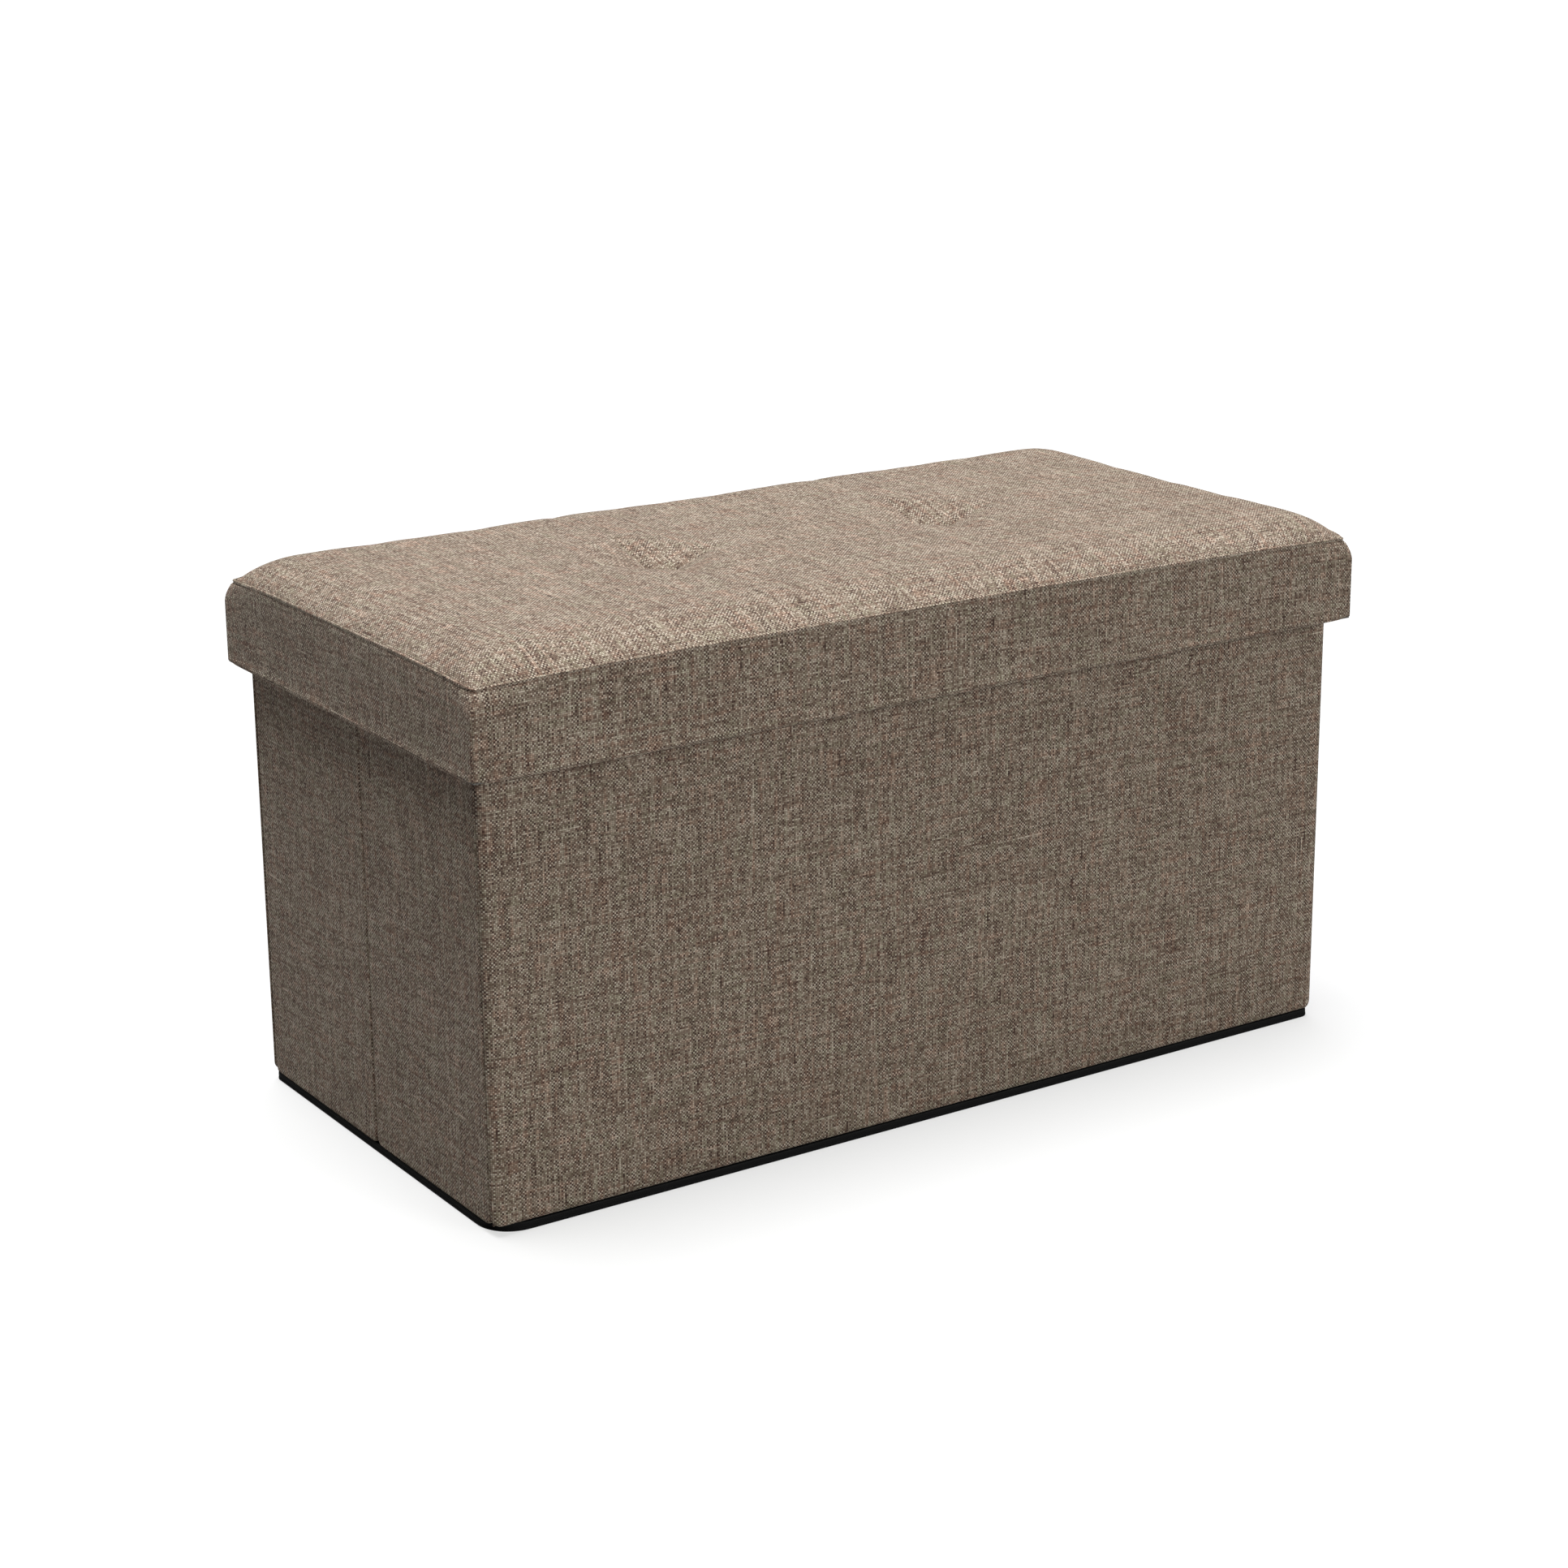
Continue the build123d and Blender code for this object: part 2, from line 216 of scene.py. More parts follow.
around = bpy.data.worlds.new("Room")
around.use_nodes = True
room = around.node_tree
room.nodes.clear()
rays, either = room.nodes.new("ShaderNodeLightPath"), room.nodes.new("ShaderNodeMixShader")
room.links.new(rays.outputs["Is Camera Ray"], either.inputs[0])
for number, strength in ((1, 0.02), (2, 1.0)):  # what lights the bench, and what is seen behind it
    shine = room.nodes.new("ShaderNodeBackground")
    shine.inputs["Color"].default_value, shine.inputs["Strength"].default_value = (1, 1, 1, 1), strength
    room.links.new(shine.outputs[0], either.inputs[number])
room.links.new(either.outputs[0], room.nodes.new("ShaderNodeOutputWorld").inputs["Surface"])
bpy.context.scene.world = around


# ---------------------------------------------------------------------------
# Base: a sheet of black spunbond cloth under the walls, cut with round corners,
# and a narrow doubled band of it that stands up round its edge as a plinth.
def drift(a, b, size, seed):
    """Slow unevenness between -1 and 1 at the points a, b, in bumps about size across."""
    table = np.random.default_rng(seed).uniform(-1, 1, (64, 64))
    a, b = np.broadcast_arrays(np.asarray(a, float) / size, np.asarray(b, float) / size)
    i, j = np.floor(a).astype(int), np.floor(b).astype(int)
    p, q = a - i, b - j
    p, q = p * p * (3 - 2 * p), q * q * (3 - 2 * q)
    at = lambda m, n: table[m % 64, n % 64]
    near = at(i, j) * (1 - p) + at(i + 1, j) * p
    far = at(i, j + 1) * (1 - p) + at(i + 1, j + 1) * p
    return near * (1 - q) + far * q


def piece(name, points, faces, material, weave=None, recalculate=True):
    """A smooth mesh piece, its doubles merged, with metres along the cloth in its own map."""
    mesh = bpy.data.meshes.new(name)
    mesh.from_pydata(np.asarray(points, float).tolist(), [], [list(map(int, f)) for f in faces])
    if weave is not None:
        corner = np.empty(len(mesh.loops), int)
        mesh.loops.foreach_get("vertex_index", corner)
        mesh.uv_layers.new(name="Weave").data.foreach_set("uv", np.asarray(weave, np.float32)[corner].ravel())
    work = bmesh.new()
    work.from_mesh(mesh)
    bmesh.ops.remove_doubles(work, verts=work.verts, dist=2e-6)
    bmesh.ops.dissolve_degenerate(work, edges=work.edges, dist=1e-6)
    if recalculate:
        bmesh.ops.recalc_face_normals(work, faces=work.faces)
    work.to_mesh(mesh)
    work.free()
    mesh.shade_smooth()
    mesh.materials.append(material)
    made = bpy.data.objects.new(name, mesh)
    bpy.context.collection.objects.link(made)
    return made


def quads(rows, columns, closed=False):
    """Faces of a grid of points, row by row; closed joins each row's end to its start."""
    wide = columns if closed else columns - 1
    return [(r * columns + c, r * columns + (c + 1) % columns, (r + 1) * columns + (c + 1) % columns,
             (r + 1) * columns + c) for r in range(rows - 1) for c in range(wide)]


def bend(inset, depth, radius, start, end, steps):
    """Points of an arc in a profile of (inset, depth), its angles in degrees."""
    turns = np.radians(np.linspace(start, end, steps + 1))
    return [(inset + radius * math.cos(t), depth + radius * math.sin(t)) for t in turns]


def panel_skin(name, length, height, margin, profile, cell, place, material, dent, offset=(0, 0), ends=None):
    """Cloth over a flat panel with round corners: a grid on its face, loops that follow the profile of
    (inset, depth) round its edges, and a cap. place turns (along, up, depth) into the frame, dent is the
    depth to which the face falls back, and ends is the upright sides' profile, where it isn't the same."""
    a, b = length / 2 - margin, height / 2 - margin
    columns, rows = max(2, round(2 * a / cell)), max(2, round(2 * b / cell))
    xs, zs = np.linspace(-a, a, columns + 1), np.linspace(-b, b, rows + 1)
    flat = np.array([(x, z) for z in zs for x in xs])
    index = np.arange(len(flat)).reshape(rows + 1, columns + 1)
    edge, away = [], []
    for side, (nx, nz) in ((index[0, :], (0, -1)), (index[:, -1], (1, 0)), (index[-1, ::-1], (0, 1)),
                           (index[::-1, 0], (-1, 0))):
        for v in side[1:-1]:
            edge.append(v), away.append((nx, nz))
        turn = math.atan2(nz, nx)
        for t in np.linspace(turn, turn + math.pi / 2, 8):
            edge.append(side[-1]), away.append((math.cos(t), math.sin(t)))
    edge, away = np.array(edge), np.array(away)
    base, count = flat[edge], len(edge)
    upright = away[:, 0] ** 2
    points, weave = [np.column_stack([flat, np.full(len(flat), profile[0][1])])], [flat]
    run = 0.0
    for (e0, d0), (e, d), (end_e, end_d) in zip(profile, profile[1:], (ends or profile)[1:]):
        run += math.hypot(e - e0, d - d0)
        if max(e, end_e) <= margin + 1e-9:
            at = base + away * (margin - e - (end_e - e) * upright)[:, None]
        else:
            at = np.clip(base, (-a - margin + end_e, -b - margin + e), (a + margin - end_e, b + margin - e))
        points.append(np.column_stack([at, d + (end_d - d) * upright]))
        weave.append(base + away * run)
    faces = quads(rows + 1, columns + 1)
    first = len(flat)
    for j in range(count):
        k = (j + 1) % count
        faces.append([edge[j], first + j, first + k] + ([edge[k]] if edge[k] != edge[j] else []))
    loops = len(profile) - 1
    faces += [[first + i for i in f] for f in quads(loops, count, closed=True)]
    faces.append([first + (loops - 1) * count + j for j in range(count)])
    points, weave = np.concatenate(points), np.concatenate(weave)
    on_face = np.clip(1 - np.abs(points[:, 2] - profile[0][1]) / (0.7 * mm), 0, 1)
    points[:, 2] += dent(points[:, 0], points[:, 1]) * on_face
    return piece(name, np.column_stack(place(*points.T)), faces, material, weave + np.array(offset))


spunbond = Finish("black spunbond", {"Roughness": 0.7, "Specular IOR Level": 0.15})
along, across = spunbond.cloth()
dot = spunbond.node("ShaderNodeTexVoronoi", {"voronoi_dimensions": "2D", "feature": "F1"},
                    {"Vector": spunbond.point(along + across * 0.5, across), "Scale": 620.0,
                     "Randomness": 0.12})
dimple = dot.between(0.22, 0.42)
fibre = spunbond.noise(spunbond.point(along, across * 0.35), 2600.0, 3.0, 0.7)
patch = spunbond.noise(spunbond.point(along, across), 60.0, 3.0)
spunbond.paint(
    colour=spunbond.mix(dimple * 0.55 + fibre * 0.3 + patch * 0.25, (0.0028, 0.0028, 0.003),
                        (0.010, 0.010, 0.0105)),
    rough=0.92 - 0.35 * (1 - dimple) - 0.1 * patch, height=dimple * 0.7 + fibre * 0.4, depth=0.00012)

base_round, full_round, base_cell = 9 * mm, 27 * mm, 4 * mm


def laid_flat(low, high, faces_up):
    """Turns (along, up, depth) on a level skin, from its middle and the face that shows, into the frame."""
    mid = (low + high) / 2
    return lambda s, t, d: (mid.x + s, mid.y + t, high.z - d if faces_up else low.z + d)


def fuller(made, low):
    """Rounds the front left corner more than the others, where the cloth is pulled in further."""
    gap = full_round - base_round
    for vertex in made.data.vertices:
        u, v = full_round - (vertex.co.x - low.x), full_round - (vertex.co.y - low.y)
        if u <= 0 or v <= 0:
            continue
        out = math.hypot(u, v)
        line = full_round / max(u, v) * out
        if min(u, v) / out * line > gap:
            both_ways = gap * (u + v) / out
            line = both_ways + math.sqrt(both_ways ** 2 - 2 * gap ** 2 + base_round ** 2)
        pull = (1 - full_round / line) * min(1.0, out / line) ** 2
        vertex.co.x += u * pull
        vertex.co.y += v * pull


low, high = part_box("base_cloth")
thin = high.z - low.z
base_cloth = panel_skin(
    "base_cloth_sheet", high.x - low.x, high.y - low.y, base_round,
    [(base_round, 0)] + [(e * mm, 0) for e in (8, 3, 0.8, 0.2)] + [(0, thin / 2)]
    + [(e * mm, thin) for e in (0.2, 1, 8)], base_cell, laid_flat(low, high, True), spunbond.material,
    dent=lambda s, t: 0.12 * mm * (1 + drift(s, t, 40 * mm, 3)))
fuller(base_cloth, low)
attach(base_cloth, "back_wall")
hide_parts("base_cloth")


def round_line(low, high, corner, step):
    """Points and outward directions once round a rectangle with round corners, and the way run so far."""
    a, b = (high.x - low.x) / 2 - corner, (high.y - low.y) / 2 - corner
    at, out = [], []
    for k, (cx, cy, sx, sy) in enumerate(((-a, -b, 1, 0), (a, -b, 0, 1), (a, b, -1, 0), (-a, b, 0, -1))):
        turn = math.radians(-180 + 90 * k)
        for t in np.linspace(turn, turn + math.pi / 2, 9):
            at.append((cx, cy)), out.append((math.cos(t), math.sin(t)))
        run = 2 * (a if sx else b)
        for f in np.arange(step, run - step / 2, step):
            at.append((cx + sx * f, cy + sy * f)), out.append((sy, -sx))
    at, out = np.array(at), np.array(out)
    line = at + out * corner + np.array(((low.x + high.x) / 2, (low.y + high.y) / 2))
    gone = np.concatenate([[0], np.cumsum(np.linalg.norm(np.diff(line, axis=0), axis=1))])
    return line, out, gone


def band_round(name, low, high, corner, step, profile, material, wander):
    """A closed strip that runs once round: profile is a closed list of (inset, height), shifted by wander."""
    line, out, gone = round_line(low, high, corner, step)
    points, weave, run = [], [], 0.0
    for k, (e, z) in enumerate(profile + [profile[0]]):
        if k:
            run += math.dist(profile[k - 1], (e, z))
        inward, upward = wander(line[:, 0], gone, z)
        points.append(np.column_stack([line - out * (e + inward)[:, None], z + upward]))
        weave.append(np.column_stack([gone, np.full(len(gone), run)]))
    return piece(name, np.concatenate(points), quads(len(points), len(line), closed=True), material,
                 np.concatenate(weave))


low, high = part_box("base_band")
tall = high.z - low.z


def settle(x, gone, z):
    """How far the band's edge leans in and sags, a little everywhere but less at the corners."""
    corner = np.clip(1 - np.minimum(np.abs(np.abs(x) - high.x), 0.03) / 0.03, 0, 1)
    inward = 0.25 * mm * (1 + drift(gone, 0, 45 * mm, 5)) * (z - low.z) / tall
    return inward, -0.25 * mm * (1 + drift(gone, 0, 60 * mm, 6)) * (1 - corner) * (z - low.z) / tall


band_profile = [(e * mm, low.z + z * mm) for e, z in (
    (0.05, 0.05), (0.0, 0.5), (0.1, 0.95), (0.42, 1.15), (0.45, 1.5), (0.15, 1.75), (0.1, 2.6), (0.12, 4.2),
    (0.2, 5.0), (0.45, 5.32), (0.8, 5.4), (1.15, 5.3), (1.35, 4.9), (1.42, 3.0), (1.45, 0.6), (1.3, 0.05))]
base_band = band_round("base_band_strip", low, high, base_round, base_cell, band_profile, spunbond.material,
                       settle)
fuller(base_band, low)
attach(base_band, "back_wall")
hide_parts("base_band")
for sewn in (base_cloth, base_band):
    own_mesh(sewn)

# ---------------------------------------------------------------------------
# Wall boards: six panels of smooth brown hardboard, 4 mm thick, two at each
# folding end and one in each long wall, where its ends are rounded off. Cloth
# covers them on every side.
def pressed_board(name, constants, flecks, edges, share, clouds, dark, light, depth, rough=None):
    """A board of pressed fibres: flecks of two tones over slow clouds, the flecks raised by depth."""
    made = Finish(name, constants)
    fleck, cloud = made.noise(made.solid(), *flecks), made.noise(made.solid(), clouds, 3.0)
    made.paint(colour=made.mix(fleck.between(*edges) * share + cloud * (1 - share), dark, light),
               rough=rough and rough[0] + fleck * rough[1], height=fleck, depth=depth)
    return made


def repaint(node, finish):
    """Gives a piece that keeps its shape its own finish."""
    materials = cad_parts[node].data.materials
    materials.clear()
    materials.append(finish.material)


hardboard = pressed_board("brown hardboard", {"Roughness": 0.55, "Specular IOR Level": 0.4},
                          (900.0, 4.0, 0.75), (0.38, 0.66), 0.8, 25.0, (0.17, 0.090, 0.042),
                          (0.34, 0.20, 0.105), 0.00006, (0.45, 0.3))
walls = {  # panel: (body, the side that it faces, where its cloth begins)
    "back_wall": ("back_wall", "back", (0.0, 0.0)),
    "front_wall": ("front_wall", "front", (1.37, 0.55)),
    "left_rear": ("left_rear_panel", "left", (2.0, 0.2)),
    "left_front": ("left_front_panel", "left", (2.4, 0.2)),
    "right_rear": ("right_rear_panel", "right", (3.0, 0.7)),
    "right_front": ("right_front_panel", "right", (3.4, 0.7)),
}
for node in ("left_rear_board", "left_front_board", "right_rear_board", "right_front_board", "insert_board"):
    repaint(node, hardboard)


def measure(side, low, high):
    """Length, height and depth of a panel that faces that side."""
    size = high - low
    return (size.x, size.z, size.y) if side in ("front", "back") else (size.y, size.z, size.x)


def facing(side, low, high):
    """Turns (along, up, depth) on a panel, from its middle and its outer face, into places in the frame."""
    mid = (low + high) / 2
    return {"front": lambda s, t, d: (mid.x + s, low.y + d, mid.z + t),
            "back": lambda s, t, d: (mid.x - s, high.y - d, mid.z + t),
            "left": lambda s, t, d: (low.x + d, mid.y - s, mid.z + t),
            "right": lambda s, t, d: (high.x - d, mid.y + s, mid.z + t)}[side]


def round_off(inset, wide, deep):
    """How far a long wall's face falls back at that distance from its end."""
    return deep * (1 - np.sqrt(1 - np.clip(1 - np.asarray(inset) / wide, 0, 1) ** 2))


end_wide, end_deep = 11 * mm, 4.9 * mm
boards = {}
for wall in ("front_wall", "back_wall"):
    body_name, side = walls[wall][:2]
    low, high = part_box(wall + "_board")
    length, height, thick = measure(side, low, high)
    falls = lambda inset, deep=thick - 0.5 * mm: round_off(inset, end_wide - 1 * mm, deep)
    square = [(12, 0.0), (8, 0.0), (5, 0.0), (2.6, 0.0), (1.1, 0.0), (0.3, 0.1), (0.0, 0.5), (0.0, 3.5),
              (0.15, 3.85), (0.6, 4.0), (6.0, 4.0)]
    bullnose = [(e * mm, float(falls(e * mm))) if k < 6 else (e * mm, max(d * mm, float(falls(0))))
                for k, (e, d) in enumerate(square)]
    boards[wall] = panel_skin(
        wall + "_hardboard", length, height, 12 * mm, [(e * mm, d * mm) for e, d in square], 12 * mm,
        facing(side, low, high), hardboard.material, ends=bullnose,
        dent=lambda s, t, half=length / 2: falls(half - np.abs(s)))
    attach(boards[wall], body_name)
    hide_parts(wall + "_board")

# ---------------------------------------------------------------------------
# Wall covers: linen-look cloth of mixed taupe yarns, plain woven with slubs,
# pulled tight over each board, round its edges and 10 mm onto its back.
linen = Finish("taupe linen", {"Roughness": 0.9, "Specular IOR Level": 0.2, "Sheen Weight": 0.06,
                               "Sheen Roughness": 0.5})
yarn = 1.35 * mm
x, y = linen.cloth()


def streak(along_warp, along_weft, detail=1.0, rough=0.5):
    """A slow change along the yarns, at a place counted in yarns."""
    return linen.noise(linen.point(along_warp, along_weft), 1.0, detail, rough)


# the yarns' numbers, which drift a little, as the cloth isn't pulled quite straight
warp = x * (1 / yarn) + linen.noise(linen.point(x, y), 7.0, 1.0) * 1.2
weft = y * (1 / yarn) + linen.noise(linen.point(x + 3.1, y + 0.4), 7.0, 1.0) * 1.2
warp_no, weft_no = warp.math("FLOOR"), weft.math("FLOOR")
warp_side, weft_side = warp.math("FRACT") - 0.5, weft.math("FRACT") - 0.5
# plain weave: each crossing shows the other yarn, but a thick slub stays on top of its neighbours
odd = ((warp_no + weft_no) * 0.5).math("FRACT") * 2
thick_weft = streak(warp * 0.045, weft_no * 7.7, rough=0.6).between(0.66, 0.74)
thick_warp = streak(warp_no * 9.1, weft * 0.04, rough=0.6).between(0.66, 0.74)
weft_over = (odd + thick_weft * 0.8 - thick_warp * 0.8) > 0.5
across_warp, across_weft = warp_side * warp_side * 4, weft_side * weft_side * 4
round_weft = (1 - across_weft * 0.8) * (1 - across_warp * 0.6)
round_warp = (1 - across_warp * 0.8) * (1 - across_weft * 0.6)
body = round_weft * weft_over + round_warp * (1 - weft_over)
# the tone of the yarn on top, from dark to light, then its hue, redder or greener
cell_tone = linen.node("ShaderNodeTexWhiteNoise", {"noise_dimensions": "2D"},
                       {"Vector": linen.point(warp_no, weft_no)})
weft_tone, warp_tone = streak(warp * 0.03, weft_no * 3.37), streak(warp_no * 4.71, weft * 0.022)
weft_group, warp_group = streak(warp * 0.02, weft * 0.33), streak(warp * 0.33, weft * 0.02)
both = ((weft_tone * 0.36 + 0.245) * weft_over + (warp_tone * 0.55 + 0.095) * (1 - weft_over)
        + cell_tone * 0.25 + weft_over * 0.10 + weft_group * 0.03 + warp_group * 0.04 - 0.125)
cloth_colour = linen.node("ShaderNodeValToRGB", {"stops": (
    (0.28, (0.069, 0.039, 0.031)), (0.66, (0.552, 0.472, 0.386)), (0.40, (0.172, 0.117, 0.087)),
    (0.50, (0.276, 0.215, 0.163)), (0.58, (0.397, 0.326, 0.255)))}, {"Fac": both})
hue = (streak(warp * 0.35 + 5.0, weft * 0.03, 2.0, 0.6)
       + streak(warp * 0.03 + 9.0, weft * 0.35, 2.0, 0.6)) * 0.5
cloth_colour = linen.mix(hue.between(0.50, 0.62) * 0.52, cloth_colour, (1.19, 0.93, 0.86), "MULTIPLY")
cloth_colour = linen.mix((1 - hue).between(0.50, 0.62) * 0.52, cloth_colour, (0.95, 1.055, 0.95), "MULTIPLY")
blotch = linen.noise(linen.point(x + 11.0, y + 5.0), 22.0, 3.0, 0.5)
# painted shade: the colour darkens at each yarn's sides and in the gaps between yarns, where shade falls, by
# the yarns' round profile; slow blotches of tone vary it at random
yarn_shade_and_blotch = (0.38 + body * 0.84) * (0.97 + blotch * 0.06)
linen.paint(colour=linen.mix(1.0, cloth_colour, yarn_shade_and_blotch, "MULTIPLY"), height=body, depth=0.00018)


def stretched(length, height, seed):
    """How far the tight cloth dips between the board's edges, with small puckers where it turns."""
    def dips(s, t):
        from_edge = np.minimum(length / 2 - np.abs(s), height / 2 - np.abs(t))
        slow = 0.10 * mm * (1 + drift(s, t, 70 * mm, seed)) + 0.05 * mm * (1 + drift(s, t, 24 * mm, seed + 1))
        round_edge = np.where(length / 2 - np.abs(s) < height / 2 - np.abs(t), t, s)
        puckers = 0.09 * mm * (1 + drift(round_edge, 0, 13 * mm, seed + 2)) * np.exp(-from_edge / (9 * mm))
        return slow * np.clip(from_edge / (12 * mm), 0, 1) + puckers
    return dips


corner_round, cloth_thick, turned = 7 * mm, 1.2 * mm, 10 * mm
edge_wide, edge_deep, end_edge = 5.2 * mm, 3.0 * mm, 2.4 * mm
covers = {}
for number, (wall, (body_name, side, begins)) in enumerate(walls.items()):
    low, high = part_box(wall + "_cover")
    length, height, deep = measure(side, low, high)
    back, long_wall = deep - 0.4 * mm, side in ("front", "back")
    if long_wall:
        outer = [(6.0 * mm, 0.01 * mm)] + [(e * edge_wide / edge_deep, d)
                                           for e, d in bend(edge_deep, edge_deep, edge_deep, 272, 180, 8)]
    else:
        outer = [(4.2 * mm, 0.01 * mm)] + bend(end_edge, end_edge, end_edge, 272, 180, 7)
    profile = ([(corner_round, 0)] + outer
               + bend(2.0 * mm, back - 2.0 * mm, 2.0 * mm, 180, 90, 5)
               + [(5 * mm, back), (turned, back), (turned + 0.2 * mm, back - 0.2 * mm),
                  (turned, back - 0.4 * mm), (cloth_thick, back - 0.4 * mm), (cloth_thick, cloth_thick)])
    dips, ends = stretched(length, height, 10 * number), None
    if long_wall:
        ends, inner = [], len(outer) + 1
        inner_deep = profile[inner][1]
        for k, (e, d) in enumerate(profile[:-1]):
            if k < inner:
                d = float(round_off(e, end_wide, end_deep))
            elif k < inner + 6:
                d = end_deep + (d - inner_deep) * (back - end_deep) / (back - inner_deep)
            ends.append((e, d))
        ends.append((end_wide + cloth_thick, cloth_thick))
        dips = lambda s, t, flat=dips, half=length / 2: flat(s, t) + round_off(half - np.abs(s), end_wide,
                                                                               end_deep)
    covers[wall] = panel_skin(wall + "_linen", length, height, corner_round, profile, 5.5 * mm,
                              facing(side, low, high), linen.material, dips, offset=begins, ends=ends)
    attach(covers[wall], body_name)
    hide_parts(wall + "_cover")

# ---------------------------------------------------------------------------
# Wall linings: black spunbond cloth glued over the back of each panel, so that
# it hides the turned-in linen and the board inside the box.
for number, (wall, (body_name, side, begins)) in enumerate(walls.items()):
    low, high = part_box(wall + "_cover")
    length, height, deep = measure(side, low, high)
    inset = 3 * mm
    edge = [(corner_round, deep), (inset + 1 * mm, deep), (inset + 0.2 * mm, deep - 0.08 * mm),
            (inset, deep - 0.2 * mm), (inset + 0.2 * mm, deep - 0.38 * mm), (turned, deep - 0.38 * mm)]
    lining = panel_skin(wall + "_black_lining", length, height, corner_round, edge, 9 * mm,
                        facing(side, low, high), spunbond.material, offset=begins,
                        dent=lambda s, t, seed=number: -0.06 * mm * (1 + drift(s, t, 30 * mm, 70 + seed)))
    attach(lining, body_name)
    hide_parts(wall + "_lining")
    length - 2 * inset
    height - 2 * inset

# ---------------------------------------------------------------------------
# Corner hinges: a strip of the same linen tucked into the slit between each
# end panel and the long wall. It is doubled there.
low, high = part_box("left_rear_cover")
slit_end, end_out = high.y, -low.x
strip_thick, strip_rows, below = 0.2 * mm, 60, 6.9 * mm
leg_panel = [(-1.85, -0.42), (-2.25, -0.18), (-2.9, 0.03), (-3.7, 0.12), (-4.6, 0.14)]
leg_wall = [(-4.6, 0.46), (-3.8, 0.50), (-3.1, 0.62), (-2.5, 0.82), (-1.9, 1.02)]
turn_in = [(-5.6, 0.16), (-5.85, 0.22), (-5.95, 0.30), (-5.85, 0.38), (-5.6, 0.44)]


def thicken(made, thick, offset=0):
    """Gives a strip of cloth its thickness: half to each side, or all behind its face with -1."""
    doubled = made.modifiers.new("Thickness", "SOLIDIFY")
    doubled.thickness, doubled.offset = thick, offset


def steps(section):
    """How far it is from each point of a section to the next."""
    return [math.dist(p, q) for p, q in zip(section, section[1:])]


def tucked(name, section, slack, mirror, z_low, z_high):
    """A strip of cloth that follows a section of (inwards, towards the long wall), upright."""
    sx, sy = mirror
    levels = np.linspace(z_low, z_high, strip_rows)
    along = np.concatenate([[0], np.cumsum(slack)])
    points, weave = [], []
    for z in levels:
        open_up = 0.12 * mm * (1 + drift(z, 0, 35 * mm, 31 + int(sx + 2 * sy)))
        for (inward, over), run in zip(section, along):
            mouth = max(0.0, 1 + inward / 3.5)
            points.append((sx * (end_out + inward * mm - open_up * mouth * 2.0),
                           sy * (slit_end + over * mm), z))
            weave.append((run * mm, z))
    strip = piece(name, points, quads(len(levels), len(section)), linen.material, weave, recalculate=False)
    if sx * sy > 0:
        strip.data.flip_normals()
    thicken(strip, strip_thick)
    return strip


whole = leg_panel + turn_in + leg_wall
slack = [d if not 5 <= k <= 8 else 1.6 for k, d in enumerate(steps(whole))]
for name, panel, wall, mirror in (("rear_left", "left_rear", "back_wall", (-1, 1)),
                                  ("rear_right", "right_rear", "back_wall", (1, 1)),
                                  ("front_left", "left_front", "front_wall", (-1, -1))):
    low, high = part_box(name + "_hinge_cloth")
    strip = tucked(name + "_hinge_strip", whole, slack, mirror, low.z - below, high.z)
    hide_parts(name + "_hinge_cloth")
    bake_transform(strip)
# the ring of panels is opened at the front right corner, so its strip is cut into two halves
for half, rides, section in (("side", "right_front_panel", leg_panel + turn_in[:3]),
                             ("front", "front_wall", turn_in[2:] + leg_wall)):
    low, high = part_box("front_right_hinge_cloth_" + half)
    strip = tucked("front_right_hinge_strip_" + half, section, steps(section), (1, -1), low.z - below, high.z)
    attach(strip, rides)
    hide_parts("front_right_hinge_cloth_" + half)

# ---------------------------------------------------------------------------
# Middle folds: where an end's two panels meet, a narrow strip of linen sewn to
# both covers dips into the crease.
section = [(0.6, 1.75), (0.85, 1.25), (1.15, 0.75), (1.55, 0.28), (1.7, 0.0), (1.55, -0.28), (1.15, -0.75),
           (0.85, -1.25), (0.6, -1.75)]
run = np.concatenate([[0], np.cumsum(steps(section))]) * mm
for side, sign in (("left", -1), ("right", 1)):
    low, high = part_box(f"middle_{side}_hinge_cloth")
    levels = np.linspace(low.z, high.z, strip_rows)
    points = [(sign * (end_out - (deep_in + 0.15 * (1 + drift(z, 0, 30 * mm, 41 + sign))) * mm),
               sign * -aside * mm, z) for z in levels for deep_in, aside in section]
    strip = piece(f"middle_{side}_hinge_strip", points, quads(len(levels), len(section)), linen.material,
                  [(r, z) for z in levels for r in run], recalculate=False)
    strip.data.flip_normals()
    thicken(strip, strip_thick)
    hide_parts(f"middle_{side}_hinge_cloth")
    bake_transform(strip)
    low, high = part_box(f"{side}_rear_cover")

